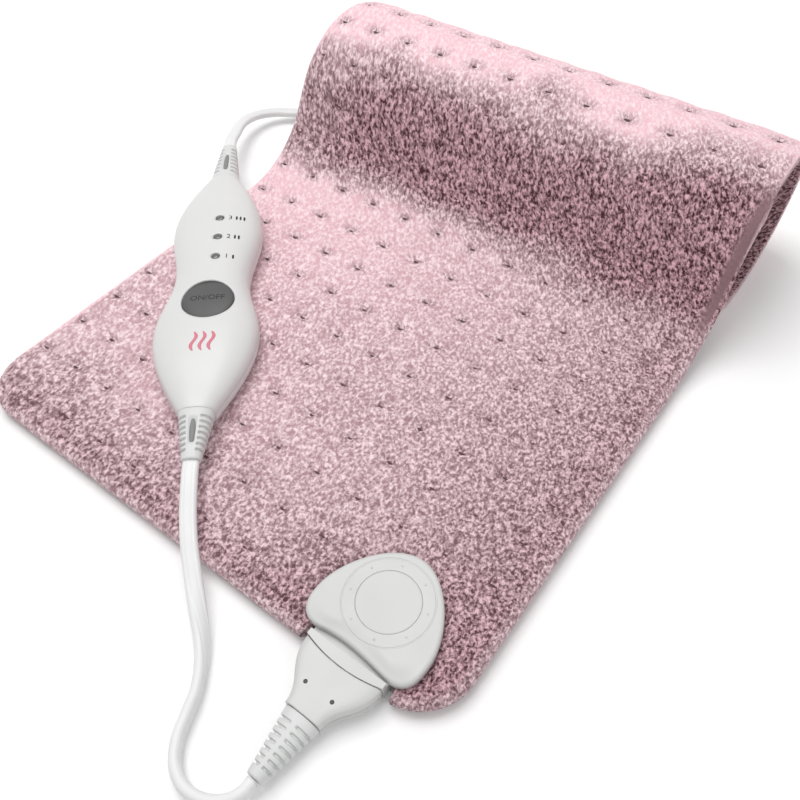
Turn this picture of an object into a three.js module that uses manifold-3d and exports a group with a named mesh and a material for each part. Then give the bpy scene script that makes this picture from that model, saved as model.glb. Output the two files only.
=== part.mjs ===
// Heating pad with a wired hand controller: a quilted plush pad with its far end rolled back, a socket
// clamped through the front corner, a plug-in connector, a push-button controller and a put-away mains lead.
// Millimetres, +Z up, origin on the pad's flat underside, +Y towards the rolled end.
import * as THREE from 'three';
import { mergeVertices } from 'three/addons/utils/BufferGeometryUtils.js';
import Module from 'manifold-3d';

const wasm = await Module();
wasm.setup();

// Fits
const GAP = 0.3; // between pieces that touch
const RUNNING_FIT = 0.4; // round the button and the connector's tongue
const PAST = 1; // how far a cut runs past a face
const FINE_SIDES = 40; // round plates
const BUTTON_SIDES = 28;
const SMALL_SIDES = 12; // posts, screws and pins

// Pad sheet
const PAD_WIDTH = 305;
const PAD_LENGTH = 610;
const PAD_CORNER = 28;
const COVER_THICK = 2.9;
const FELT_THICK = 1.2;
const WIRE_DIAMETER = 1.6;
const SEAM_HALF = 2.2; // each plush ply at the sewn edge
const EDGE_TAPER = 16; // width of the drawn-in border
const EDGE_STEP = 3; // first row inside the edge
const EDGE_SECOND = 7.8; // and the next
const COVER_INSET = 10; // where the plies part to hold the felts
const FELT_INSET = 14;
const TUFT_PITCH = 25.4;
const TUFT_COLUMNS = 12;
const TUFT_SIDE = 9.1; // from the side edge to the first column
const TUFT_FIRST_V = 15.8;
const TUFT_DEPTH = 1.8;
const TUFT_ROWS = 16; // to the crest's far side, past which the sheet turns out of sight
const ROW_TURN = 20; // most degrees that the sheet turns between two rows
const ROW_NEAR = 1; // square of the distance within which a place counts as on its row

// Run along the sheet and turn in degrees, from the front edge to the end tucked inside the roll
const FLAT_RUN = 213;
const RISE_RUN = 74;
const SHOULDER_RUN = 20;
const CREST_RUN = 66;
const BACK_RUN = 59;
const HEEL_RUN = 34;
const FOOT_RUN = 46;
const CURL_RUN = 39;
const LINER_RUN = 19;
const ROLL_BENDS = [
  { run: FLAT_RUN, turn: 0 },
  { run: RISE_RUN, turn: 62 },
  { run: SHOULDER_RUN, turn: -8 },
  { run: CREST_RUN, turn: -68 },
  { run: BACK_RUN, turn: -97 },
  { run: HEEL_RUN, turn: -49 },
  { run: FOOT_RUN, turn: -35 },
  { run: CURL_RUN, turn: -108 },
  { run: LINER_RUN, turn: -13 },
];
const TAIL_TURN = -87;

// Heating wire
const WIRE_RUNS = 12;
const WIRE_PITCH = 45;
const WIRE_FIRST_V = 50;
const WIRE_SIDE = 20.5; // from the left edge to the bends
const WIRE_RETURN_SIDE = 16.5; // from the right edge to the way back
const WIRE_RETURN_GAP = 12; // between that and the bends
const WIRE_TERMINALS = 14; // between the two ends at the socket
const WIRE_CORNER = 5;
const WIRE_SIDES = 5;
const WIRE_BEND_STEPS = 6;
const CUTOUT_SIZE = { x: 14, y: 6 };
const CUTOUT_AT = { x: 40, v: 68 };

// Socket, measured from the pad's front edge
const SOCKET_SIDE = 47.5; // from the right edge to the middle
const SOCKET_REACH = 57;
const SOCKET_HALF = 30;
const SOCKET_TOP = 15;
const SOCKET_SKIRT = 9.7;
const SOCKET_BASE = 1.6;
const PLATE_BEVEL = 1.2;
const PLATE_SETBACK = 2.2; // behind the lip
const PLATE_FRONT_HALF = 18;
const PLATE_WAVE = 1;
const PLATE_SHOULDER = 14; // from the front to the widest place
const PLATE_ROUND = 0.62; // how full the back corners are
const RECEPTACLE_HALF = 20;
const RECEPTACLE_BACK = 33.6;
const LIP_DEPTH = 3.2;
const LIP_TOP = 13;
const LIP_BULGE = 3;
const BOSS_Y = 32;
const BOSS_RADIUS = 14.5;
const RING_RADIUS = 20.5;
const RING_WIDTH = 0.6;
const BOSS_DEPTH = 1.6;
const PIN_SPACING = 8;
const PIN_RADIUS = 0.9;
const PIN_LENGTH = 26;
const PIN_INSET = 1; // from the receptacle's back
const PIN_DROP = 1.1; // below the connector's middle
const POCKET_DEPTH = 15.6;

// Connector
const CONNECTOR_BACK_HALF = 20;
const CONNECTOR_NECK_HALF = 9;
const CONNECTOR_LENGTH = 25;
const CONNECTOR_BOTTOM = 1;
const CONNECTOR_TOP = 13;
const CONNECTOR_BEVEL = 1.6;
const CONNECTOR_FLARE = 11; // where the sides start to draw in
const CONNECTOR_WAIST = 15; // and where they run straight
const TONGUE_HALF = 12.6;
const TONGUE_THICK = 5;
const TONGUE_ROOT = 13;
const SLEEVE_WALL = 0.4;
const SLEEVE_LENGTH = 12;
const SLEEVE_INSET = 1; // from the pocket's end
const DIMPLE_RADIUS = 0.9;
const DIMPLE_DEPTH = 1.2;
const DIMPLE_SPACING = 14;
const DIMPLE_REACH = 14.5; // from the pad's front edge

// Controller case, along its own length
const CASE_TURN = 40.4;
const CASE_X = -96.4;
const CASE_Y = 128.9; // from the pad's front edge
const CASE_BOTTOM = -101;
const CASE_TOP = 90;
const LOW_LOBE_Y = -47;
const LOW_LOBE_HALF = 28.4;
const WAIST_Y = -5.2;
const WAIST_HALF = 21.1;
const TOP_LOBE_Y = 36.7;
const TOP_LOBE_HALF = 26.4;
const NOSE_HALF = 9.5;
const NOSE_RISE = 7.2;
const CROWN_RISE = 12.5;
const BASE_DEPTH = 9.7;
const CASE_WALL = 2;
const END_WALL = 12;
const CROWN_POWER = 2.4; // how square the section is
const BASE_POWER = 4;
const OUTER_STEPS = { along: 20, round: 12 };
const HOLLOW_STEPS = { along: 14, round: 8 };
const BUTTON_X = 1.5;
const BUTTON_Y = -29.7;
const BUTTON_RADIUS = 14.2;
const BUTTON_CROWN = 13.1;
const BUTTON_RIM = 11;
const BUTTON_FLANGE = 1.2; // beyond the cap's radius
const FLANGE_TOP = 7.3;
const FLANGE_THICK = 1;
const STEM_RADIUS = 2.5;
const BUTTON_STEPS = 5; // rings of the crown
const LENS_RADIUS = 2.3;
const LENS_TOP = 12.9;
const LENS_DOME = 0.6;
const LENS_STEPS = 3;
const LENS_FIRST_Y = 5;
const LENS_PITCH = 17.2;
const LENS_X = 3;

// Circuit board
const BOARD_HALF = 18;
const BOARD_FRONT_SETBACK = 29; // from the case's ends
const BOARD_BACK_SETBACK = 28;
const BOARD_THICK = 1.6;
const BOARD_UNDER = -3;
const POST_RADIUS = 2.5;
const POST_X = 12;
const POST_INSET = 12;
const SWITCH_SIZE = 6.2;
const SWITCH_HEIGHT = 3.6;
const PLUNGER_RADIUS = 1.6;
const PLUNGER_RISE = 1.6;
const PLUNGER_SUNK = 1.6;
const BUTTON_TRAVEL = 1;
const LED_SIZE = { x: 3.2, y: 2.6, z: 1.4 };
const SUPPLY_INSET = 20; // of the triac and the capacitor from the board's front
const TRIAC = { x: 9, size: { x: 10, y: 4.6, z: 8 } };
const CAPACITOR = { x: -8, size: { x: 13, y: 7, z: 8 } };
const CHIP = { x: 11, y: 20, size: { x: 6, y: 9, z: 1.6 } };
const FUSE = { x: -12, inset: 16, radius: 2.6, length: 20 }; // inset from the board's back

// Case screws
const SCREW_INSET_LOW = 19;
const SCREW_INSET_TOP = 20;
const SCREW_SHANK = 1.2;
const SCREW_HEAD = 2.7;
const SCREW_HEAD_THICK = 2.2;
const SCREW_SEAT = -4.6;
const SCREW_REACH = 5.8;
const SCREW_POST_WALL = 1.8;
const HEAD_POST_WALL = 0.9;

// Strain reliefs
const MAINS_RELIEF_LENGTH = 40;
const LEAD_RELIEF_LENGTH = 28;
const RELIEF_FLANGE = { x: 8, z: 5.2 };
const RELIEF_FLANGE_THICK = 2.4;
const RELIEF_NECK = { x: 5.4, z: 4.2 };
const RELIEF_ROOT = { x: 9, z: 6.8 };
const RELIEF_TIP = { x: 5.2, z: 3.8 };
const RELIEF_RIBS = 7;
const RELIEF_SIDES = 12;
const RIB_DEPTH = 1.1;
const SLOT_DEPTH = 1.4;
const CONNECTOR_RELIEF_ROOT = { x: 8.6, z: 5.4 };
const CONNECTOR_RELIEF_TIP = { x: 3.8, z: 4.8 };
const CONNECTOR_RELIEF_LENGTH = 28;
const CONNECTOR_NECK = { x: 5, z: 3.8 };
const CONNECTOR_NECK_DEPTH = 8;

// Flat cord
const CORD_WIDE = 8;
const CORD_THICK = 5.2;
const CORD_SIDES = 8;

// Tied hank of the unused mains lead
const HANK_X = -45;
const HANK_Y = 421.4; // from the pad's front edge
const HANK_RUN = 95;
const HANK_OUTER = 38.2;
const HANK_STEP = 7.9;
const HANK_TURNS = 2; // in each of two layers
const HANK_DRAWN_IN = 10;
const HANK_LAYER = 8.6;
const CLIMB_SHARE = 0.34; // of the run where the spiral reverses
const HANK_SIDES = 6;
const LOOP_STEPS = 24;
const TIE_THICK = 1.2;
const TIE_WIDE = 12;
const TIE_SLACK = 1.6;
const TIE_CORNER = 4;
const GAP_SAMPLES = 8; // to a step, for measuring the hank

// Mains plug
const PLUG_LENGTH = 32;
const PLUG_WIDE = 25;
const PLUG_TALL = 15;
const PLUG_BEVEL = 2;
const PLUG_NECK = 14;
const PLUG_WAIST = 10; // where the sides start to flare
const PLUG_SHOULDER = 22.4; // and where they run straight
const PLUG_RIBS = 5;
const PLUG_RELIEF_LENGTH = 24;
const PLUG_RELIEF_ROOT = { x: 5.6, z: 6 };
const PLUG_RELIEF_TIP = { x: 3.8, z: 4.8 };
const BLADE_SPACING = 12.7;
const BLADE_LENGTH = 16;
const BLADE_WIDE = 6.4;
const BLADE_THICK = 1.5;
const BLADE_ROOT = 8;

// Heights and places that follow from the sizes above
const WIRE_HALF = WIRE_DIAMETER / 2;
const FELT_INNER = WIRE_HALF + GAP;
const FELT_OUTER = FELT_INNER + FELT_THICK;
const COVER_INNER = FELT_OUTER + GAP;
const PAD_HALF = COVER_INNER + COVER_THICK;
const PAD_TOP = 2 * PAD_HALF;
const FRONT_Y = -FLAT_RUN / 2;
const TUFT_FIRST_X = TUFT_SIDE - PAD_WIDTH / 2;
const WIRE_LEFT = WIRE_SIDE - PAD_WIDTH / 2;
const WIRE_RETURN_X = PAD_WIDTH / 2 - WIRE_RETURN_SIDE;
const WIRE_RIGHT = WIRE_RETURN_X - WIRE_RETURN_GAP;
const SOCKET_X = PAD_WIDTH / 2 - SOCKET_SIDE;
const TUFTED_RUN = TUFT_FIRST_V + (TUFT_ROWS - 0.5) * TUFT_PITCH + GAP;
const CASE_Z = PAD_TOP + GAP + BASE_DEPTH;
const BOARD_TOP = BOARD_UNDER + BOARD_THICK;
const BOARD_FRONT = CASE_BOTTOM + BOARD_FRONT_SETBACK;
const BOARD_BACK = CASE_TOP - BOARD_BACK_SETBACK;
const SUPPLY_Y = BOARD_FRONT + SUPPLY_INSET;
const CONNECTOR_Z = (CONNECTOR_BOTTOM + CONNECTOR_TOP) / 2;
const PIN_Z = CONNECTOR_Z - PIN_DROP;
const SLEEVE_ROOT = POCKET_DEPTH - SLEEVE_INSET - SLEEVE_LENGTH;
const CORD_BED = CORD_WIDE / 2 + TIE_THICK + 2 * GAP; // a cord on edge beside the tie

// Finishes
const PLUSH = { color: '#e6bcc5', roughness: 0.95 };
const FELT = { color: '#e9e4dc', roughness: 0.95 };
const SILICONE = { color: '#d8d2c4', roughness: 0.5 };
const WHITE_PLASTIC = { color: '#efefed', roughness: 0.35 };
const GREY_PLASTIC = { color: '#6c6c6e', roughness: 0.5 };
const PALE_RUBBER = { color: '#d5d5d6', roughness: 0.6 };
const CORD_VINYL = { color: '#e9e9ea', roughness: 0.5 };
const BLACK_PLASTIC = { color: '#202124', roughness: 0.5 };
const BOARD_GREEN = { color: '#1f6b3f', roughness: 0.6 };
const SMOKED_LENS = { color: '#5a5a58', roughness: 0.25 };
const BRASS = { color: '#c9a659', roughness: 0.3, metalness: 1 };
const STEEL = { color: '#b9bcc0', roughness: 0.3, metalness: 1 };

// Closed geometry to solid and back
function solid(geometry) {
  const bare = geometry.clone();
  bare.deleteAttribute('normal');
  bare.deleteAttribute('uv');
  const merged = mergeVertices(bare, 1e-4);
  const mesh = new wasm.Mesh({
    numProp: 3,
    vertProperties: Float32Array.from(merged.attributes.position.array),
    triVerts: Uint32Array.from(merged.index.array),
  });
  return new wasm.Manifold(mesh);
}

function geometryOf(body) {
  const mesh = body.getMesh();
  const geometry = new THREE.BufferGeometry();
  geometry.setAttribute('position', new THREE.BufferAttribute(mesh.vertProperties, 3));
  geometry.setIndex(new THREE.BufferAttribute(mesh.triVerts, 1));
  geometry.computeVertexNormals();
  return geometry;
}

function facesToGeometry(points, faces) {
  const geometry = new THREE.BufferGeometry().setFromPoints(points);
  geometry.setIndex(faces.flat());
  return geometry;
}

// A box between two corners
function block(x0, x1, y0, y1, z0, z1) {
  const geometry = new THREE.BoxGeometry(x1 - x0, y1 - y0, z1 - z0);
  return solid(geometry.translate((x0 + x1) / 2, (y0 + y1) / 2, (z0 + z1) / 2));
}

// An upright round post
function post(radius, x, y, z0, z1, sides = SMALL_SIDES) {
  const geometry = new THREE.CylinderGeometry(radius, radius, z1 - z0, sides);
  return solid(geometry.rotateX(Math.PI / 2).translate(x, y, (z0 + z1) / 2));
}

// A round rod along Y
function rod(radius, x, z, y0, y1, sides = SMALL_SIDES) {
  const geometry = new THREE.CylinderGeometry(radius, radius, y1 - y0, sides);
  return solid(geometry.translate(x, (y0 + y1) / 2, z));
}

// A turned piece about an upright axis
function lathed(profile, sides, x, y) {
  return outward(new THREE.LatheGeometry(profile, sides).rotateX(Math.PI / 2).translate(x, y, 0));
}

// Profile points of a shallow dome, from its rim to the axis
function domeProfile(radius, rim, rise, steps) {
  return Array.from({ length: steps + 1 }, (_, step) => {
    const angle = (Math.PI / 2) * (step / steps);
    const reach = step === steps ? 0 : radius * Math.cos(angle);
    return new THREE.Vector2(reach, rim + rise * Math.sin(angle));
  });
}

// A closed skin over rings of equally many points
function loft(rings) {
  const count = rings[0].length;
  const points = rings.flat();
  const faces = [];
  for (let ring = 0; ring + 1 < rings.length; ring += 1) {
    for (let side = 0; side < count; side += 1) {
      const a = ring * count + side;
      const b = ring * count + ((side + 1) % count);
      faces.push([a, b, b + count], [a, b + count, a + count]);
    }
  }
  for (const [ring, turned] of [[0, true], [rings.length - 1, false]]) {
    const centre = new THREE.Vector3();
    rings[ring].forEach((point) => centre.addScaledVector(point, 1 / count));
    const hub = points.push(centre) - 1;
    for (let side = 0; side < count; side += 1) {
      const a = ring * count + side;
      const b = ring * count + ((side + 1) % count);
      faces.push(turned ? [b, a, hub] : [a, b, hub]);
    }
  }
  return facesToGeometry(points, faces);
}

// The pad's mid-plane: place and heading at a distance along the sheet
function tailRun() {
  return PAD_LENGTH - ROLL_BENDS.reduce((sum, bend) => sum + bend.run, 0);
}

function sheetStation(distance) {
  let y = FRONT_Y;
  let z = PAD_HALF;
  let heading = 0;
  let left = distance;
  for (const bend of [...ROLL_BENDS, { run: tailRun(), turn: TAIL_TURN }]) {
    const run = Math.min(left, bend.run);
    const turn = THREE.MathUtils.degToRad(bend.turn) * (run / bend.run);
    const chord = turn === 0 ? run : (2 * run * Math.sin(turn / 2)) / turn;
    y += chord * Math.cos(heading + turn / 2);
    z += chord * Math.sin(heading + turn / 2);
    heading += turn;
    left -= run;
    if (left <= 0) break;
  }
  return { y, z, heading };
}

// Rows across the sheet: the border, each tuft row and the crown between, and more where it turns tightly
function sheetRows() {
  const places = [0, EDGE_STEP, EDGE_SECOND];
  for (let v = TUFT_FIRST_V; v < PAD_LENGTH - 2 * EDGE_STEP; v += TUFT_PITCH / 2) places.push(v);
  places.push(PAD_LENGTH - EDGE_STEP, PAD_LENGTH);
  const rows = [];
  places.forEach((v, index) => {
    if (index > 0) {
      const before = places[index - 1];
      const turn = Math.abs(sheetStation(v).heading - sheetStation(before).heading);
      const parts = Math.ceil(THREE.MathUtils.radToDeg(turn) / ROW_TURN);
      for (let part = 1; part < parts; part += 1) rows.push(before + ((v - before) * part) / parts);
    }
    rows.push(v);
  });
  return rows.map((v) => ({ v, ...sheetStation(v) }));
}

const ROWS = sheetRows();

// A point of the sheet: across, along and off its mid-plane, straight between the rows
function onSheet(x, v, off) {
  const last = Math.max(1, ROWS.findIndex((row) => row.v >= v - 1e-9));
  const a = ROWS[last - 1];
  const b = ROWS[last];
  const share = (v - a.v) / (b.v - a.v);
  const place = (row) =>
    new THREE.Vector3(x, row.y - off * Math.sin(row.heading), row.z + off * Math.cos(row.heading));
  return place(a).lerp(place(b), share);
}

function halfWidthAt(v) {
  const end = Math.min(v, PAD_LENGTH - v);
  if (end >= PAD_CORNER) return PAD_WIDTH / 2;
  return PAD_WIDTH / 2 - PAD_CORNER + Math.sqrt(PAD_CORNER ** 2 - (PAD_CORNER - end) ** 2);
}

function fromEdge(x, v) {
  return Math.max(0, Math.min(halfWidthAt(v) - Math.abs(x), v, PAD_LENGTH - v));
}

function onGrid(distance) {
  const count = distance / TUFT_PITCH;
  return Math.abs(count - Math.round(count)) < 1e-6;
}

const tuftRow = (v) => onGrid(v - TUFT_FIRST_V);

function coverOuter(x, v) {
  const flat = Math.min(fromEdge(x, v) / EDGE_TAPER, 1);
  return SEAM_HALF + (PAD_HALF - SEAM_HALF) * Math.sqrt(1 - (1 - flat) ** 2);
}

function coverInner(x, v) {
  const share = Math.min(fromEdge(x, v) / COVER_INSET, 1);
  return GAP / 2 + (COVER_INNER - GAP / 2) * share;
}

// Places across a row: the border, then the tufts and what stands between them
function tuftedAcross(v) {
  if (v > TUFTED_RUN) return plainAcross(v);
  const half = halfWidthAt(v);
  const across = [-half, -half + EDGE_STEP];
  for (let step = tuftRow(v) ? 0 : 1; step < 2 * TUFT_COLUMNS; step += tuftRow(v) ? 1 : 2) {
    const x = TUFT_FIRST_X + (step * TUFT_PITCH) / 2;
    if (Math.abs(x) < half - 2 * EDGE_STEP) across.push(x);
  }
  across.push(half - EDGE_STEP, half);
  return across;
}

function isTuft(x, v) {
  const inside = v <= TUFTED_RUN && fromEdge(x, v) > EDGE_STEP;
  return inside && tuftRow(v) && onGrid(x - TUFT_FIRST_X);
}

function plainAcross(v) {
  const half = halfWidthAt(v);
  return [-half, -half + EDGE_STEP, -half + EDGE_TAPER, half - EDGE_TAPER, half - EDGE_STEP, half];
}

function innerAcross(v) {
  const half = halfWidthAt(v);
  return [-half, -half + COVER_INSET, half - COVER_INSET, half];
}

// Triangles between two rows of places that run the same way
function zip(a, b, turned, faces) {
  const share = (row, at) => (row[at].x - row[0].x) / (row[row.length - 1].x - row[0].x);
  let i = 0;
  let j = 0;
  while (i + 1 < a.length || j + 1 < b.length) {
    const stepA = j + 1 === b.length || (i + 1 < a.length && share(a, i + 1) <= share(b, j + 1));
    const face = stepA ? [a[i].id, a[i + 1].id, b[j].id] : [a[i].id, b[j + 1].id, b[j].id];
    faces.push(turned ? face.reverse() : face);
    if (stepA) i += 1;
    else j += 1;
  }
}

// A sheet that follows the roll, between an upper and a lower surface
function sheetSolid(rows, upper, lower) {
  const points = [];
  const faces = [];
  const lay = (surface) =>
    rows.map(({ v }) =>
      surface.across(v).map((x) => ({ x, id: points.push(onSheet(x, v, surface.off(x, v))) - 1 })),
    );
  const top = lay(upper);
  const bottom = lay(lower);
  for (let row = 0; row + 1 < rows.length; row += 1) {
    zip(top[row], top[row + 1], false, faces);
    zip(bottom[row], bottom[row + 1], true, faces);
    const [a, b, c, d] = [top[row][0].id, top[row + 1][0].id, bottom[row + 1][0].id, bottom[row][0].id];
    faces.push([a, b, c], [a, c, d]);
    const [e, f, g, h] = [top[row], top[row + 1], bottom[row + 1], bottom[row]].map((at) => at.at(-1).id);
    faces.push([f, e, g], [g, e, h]);
  }
  zip(bottom[0], top[0], false, faces);
  zip(top.at(-1), bottom.at(-1), false, faces);
  return solid(facesToGeometry(points, faces));
}

function topCover() {
  const outer = (x, v) => coverOuter(x, v) - (isTuft(x, v) ? TUFT_DEPTH : 0);
  return sheetSolid(
    ROWS,
    { across: tuftedAcross, off: outer },
    { across: innerAcross, off: coverInner },
  );
}

function bottomCover() {
  return sheetSolid(
    ROWS,
    { across: innerAcross, off: (x, v) => -coverInner(x, v) },
    { across: plainAcross, off: (x, v) => -coverOuter(x, v) },
  );
}

// Felts reach over the inner rows and need no rows on the flat
function felt(from, to) {
  const end = PAD_LENGTH - FELT_INSET;
  const places = ROWS.map((row) => row.v).filter((v) => v > FLAT_RUN && v < end - ROW_NEAR);
  const rows = [FELT_INSET, ROWS.findLast((row) => row.v <= FLAT_RUN).v, ...places, end];
  const half = PAD_WIDTH / 2 - FELT_INSET;
  const across = () => [-half, half];
  return sheetSolid(rows.map((v) => ({ v })), { across, off: () => to }, { across, off: () => from });
}

// The wire's path on the sheet: from the socket, to and fro up the pad, and back down the right border
function wirePath() {
  const bend = WIRE_PITCH / 2;
  const path = [];
  const go = (x, v) => path.push({ x, v });
  const start = RECEPTACLE_BACK + GAP;
  const [left, right] = [SOCKET_X - WIRE_TERMINALS / 2, SOCKET_X + WIRE_TERMINALS / 2];
  go(left, start);
  go(left, WIRE_FIRST_V - WIRE_CORNER);
  go(left - WIRE_CORNER, WIRE_FIRST_V);
  for (let run = 0; run < WIRE_RUNS; run += 1) {
    const v = WIRE_FIRST_V + run * WIRE_PITCH;
    const leftwards = run % 2 === 0;
    const from = leftwards ? WIRE_RIGHT - bend : WIRE_LEFT + bend;
    const to = leftwards ? WIRE_LEFT + bend : WIRE_RIGHT - bend;
    if (run > 0) go(from, v);
    go(to, v);
    if (run + 1 === WIRE_RUNS) break;
    for (let step = 1; step < WIRE_BEND_STEPS; step += 1) {
      const angle = (Math.PI * step) / WIRE_BEND_STEPS;
      const reach = bend * Math.sin(angle) * (leftwards ? -1 : 1);
      go(to + reach, v + bend * (1 - Math.cos(angle)));
    }
  }
  const lastV = WIRE_FIRST_V + (WIRE_RUNS - 1) * WIRE_PITCH;
  go(WIRE_RETURN_X - WIRE_CORNER, lastV);
  go(WIRE_RETURN_X, lastV - WIRE_CORNER);
  go(WIRE_RETURN_X, WIRE_FIRST_V);
  go(WIRE_RETURN_X - WIRE_CORNER, WIRE_FIRST_V - WIRE_CORNER);
  go(right + WIRE_CORNER, WIRE_FIRST_V - WIRE_CORNER);
  go(right, WIRE_FIRST_V - 2 * WIRE_CORNER);
  go(right, start);
  return path;
}

// Adds a place wherever a path on the rolled part crosses a row
function laidOnRows(path) {
  const laid = [path[0]];
  for (let at = 1; at < path.length; at += 1) {
    const [a, b] = [path[at - 1], path[at]];
    const crossed = ROWS.filter(({ v }) => v > FLAT_RUN && (v - a.v) * (v - b.v) < -ROW_NEAR);
    if (b.v < a.v) crossed.reverse();
    for (const { v } of crossed) laid.push({ x: a.x + ((b.x - a.x) * (v - a.v)) / (b.v - a.v), v });
    laid.push(b);
  }
  return laid;
}

function heatingWire() {
  const path = laidOnRows(wirePath());
  const rings = path.map((at, index) => {
    const before = path[Math.max(index - 1, 0)];
    const after = path[Math.min(index + 1, path.length - 1)];
    const along = new THREE.Vector2(after.x - before.x, after.v - before.v).normalize();
    return Array.from({ length: WIRE_SIDES }, (_, side) => {
      const angle = (2 * Math.PI * side) / WIRE_SIDES;
      const sideways = WIRE_HALF * Math.cos(angle);
      return onSheet(at.x + along.y * sideways, at.v - along.x * sideways, WIRE_HALF * Math.sin(angle));
    });
  });
  return outward(loft(rings));
}

// Turns a skin's faces to point out
function outward(geometry) {
  const body = solid(geometry);
  if (body.volume() > 0) return body;
  const index = Array.from(geometry.index.array);
  for (let face = 0; face < index.length; face += 3) {
    [index[face], index[face + 1]] = [index[face + 1], index[face]];
  }
  geometry.setIndex(index);
  return solid(geometry);
}

function thermalCutout() {
  const { x, v } = CUTOUT_AT;
  const y = FRONT_Y + v;
  const [dx, dy] = [CUTOUT_SIZE.x / 2, CUTOUT_SIZE.y / 2];
  return block(x - dx, x + dx, y - dy, y + dy, PAD_HALF - WIRE_HALF, PAD_HALF + WIRE_HALF);
}

// The socket's plan: a rounded triangle with a waved front side, grown by a margin
function socketPlan(margin = 0) {
  const half = SOCKET_HALF + margin;
  const back = SOCKET_REACH + margin;
  const front = LIP_DEPTH + PLATE_SETBACK - margin;
  const [wide, wave] = [PLATE_FRONT_HALF + margin, PLATE_WAVE];
  const shoulder = front + PLATE_SHOULDER;
  const eased = front + PLATE_SHOULDER / 2;
  const full = PLATE_ROUND * back;
  const shape = new THREE.Shape();
  shape.moveTo(-wide, front + wave);
  shape.bezierCurveTo(-wide / 4, front + 4 * wave, wide / 2, front + wave, wide, front);
  shape.bezierCurveTo(half - wave, front - wave, half, eased, half, shoulder);
  shape.bezierCurveTo(half, full, half / 2, back, 0, back);
  shape.bezierCurveTo(-half / 2, back, -half, full, -half, shoulder);
  shape.bezierCurveTo(-half, eased, wave - half, front, -wide, front + wave);
  return shape;
}

function socketSlab(margin, z0, z1, bevel = 0) {
  const geometry = new THREE.ExtrudeGeometry(socketPlan(margin - bevel), {
    depth: z1 - z0 - 2 * bevel,
    bevelEnabled: bevel > 0,
    bevelSize: bevel,
    bevelThickness: bevel,
    bevelSegments: 2,
    curveSegments: 8,
  });
  return solid(geometry.translate(SOCKET_X, FRONT_Y, z0 + bevel));
}

function ringGroove(radius, width, z0, z1) {
  const profile = [
    new THREE.Vector2(radius - width / 2, z0),
    new THREE.Vector2(radius + width / 2, z0),
    new THREE.Vector2(radius + width / 2, z1),
    new THREE.Vector2(radius - width / 2, z1),
    new THREE.Vector2(radius - width / 2, z0),
  ];
  return lathed(profile, FINE_SIDES, SOCKET_X, FRONT_Y + BOSS_Y);
}

function socketTop() {
  const y = FRONT_Y + BOSS_Y;
  return socketSlab(0, SOCKET_SKIRT - PLATE_BEVEL, SOCKET_TOP, PLATE_BEVEL)
    .intersect(socketSlab(PLATE_BEVEL, SOCKET_SKIRT, SOCKET_TOP + PAST))
    .subtract(post(BOSS_RADIUS + GAP, SOCKET_X, y, SOCKET_TOP - BOSS_DEPTH, SOCKET_TOP + PAST, FINE_SIDES))
    .subtract(ringGroove(RING_RADIUS, RING_WIDTH, SOCKET_TOP - RING_WIDTH, SOCKET_TOP + PAST));
}

function socketBoss() {
  const seat = SOCKET_TOP - BOSS_DEPTH + GAP;
  return post(BOSS_RADIUS, SOCKET_X, FRONT_Y + BOSS_Y, seat, SOCKET_TOP, FINE_SIDES);
}

// Room in the pad for the socket: a notch right through and a pressed seat above and below
function socketRoom() {
  const half = RECEPTACLE_HALF + GAP;
  const notch = block(
    SOCKET_X - half,
    SOCKET_X + half,
    FRONT_Y - PAD_CORNER,
    FRONT_Y + RECEPTACLE_BACK + GAP,
    -PAD_TOP,
    2 * PAD_TOP,
  );
  return notch
    .add(socketSlab(GAP, SOCKET_SKIRT - GAP, 2 * PAD_TOP))
    .add(socketSlab(GAP, -PAD_TOP, SOCKET_BASE + GAP));
}

// The lip that the connector butts against, bulging towards it, grown by a margin
function socketLip(margin, z0, z1) {
  const half = RECEPTACLE_HALF + margin;
  const side = LIP_BULGE / 2 - margin;
  const shape = new THREE.Shape();
  shape.moveTo(-half, side);
  shape.quadraticCurveTo(0, side - 2 * LIP_BULGE, half, side);
  shape.lineTo(half, LIP_DEPTH + PAST);
  shape.lineTo(-half, LIP_DEPTH + PAST);
  shape.closePath();
  const geometry = new THREE.ExtrudeGeometry(shape, {
    depth: z1 - z0,
    bevelEnabled: false,
    curveSegments: 10,
  });
  return solid(geometry.translate(SOCKET_X, FRONT_Y, z0));
}

function receptacle() {
  const lip = socketLip(0, CONNECTOR_BOTTOM, LIP_TOP);
  const under = SOCKET_BASE + GAP;
  const [x0, x1] = [SOCKET_X - RECEPTACLE_HALF, SOCKET_X + RECEPTACLE_HALF];
  const body = block(x0, x1, FRONT_Y + LIP_DEPTH, FRONT_Y + RECEPTACLE_BACK, under, SOCKET_SKIRT - GAP);
  const pocket = tongueBlock(RUNNING_FIT, -2 * LIP_BULGE, POCKET_DEPTH);
  const belowPlates = socketSlab(GAP, 0, under);
  const abovePlates = socketSlab(GAP, SOCKET_SKIRT - GAP, LIP_TOP + PAST);
  let made = lip.subtract(belowPlates).subtract(abovePlates).add(body).subtract(pocket);
  for (const x of pinPlaces()) {
    made = made.subtract(rod(PIN_RADIUS + GAP, x, PIN_Z, FRONT_Y, FRONT_Y + RECEPTACLE_BACK + PAST));
  }
  return made;
}

function pinPlaces() {
  return [-1, 0, 1].map((step) => SOCKET_X + step * PIN_SPACING);
}

// The tongue's section between two distances from the front edge, grown by a margin
function tongueBlock(margin, from, to) {
  const half = TONGUE_HALF + margin;
  const tall = TONGUE_THICK / 2 + margin;
  return block(
    SOCKET_X - half, SOCKET_X + half, FRONT_Y + from, FRONT_Y + to, PIN_Z - tall, PIN_Z + tall,
  );
}

function contactPin(x) {
  const back = FRONT_Y + RECEPTACLE_BACK - PIN_INSET;
  return rod(PIN_RADIUS, x, PIN_Z, back - PIN_LENGTH, back);
}

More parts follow.
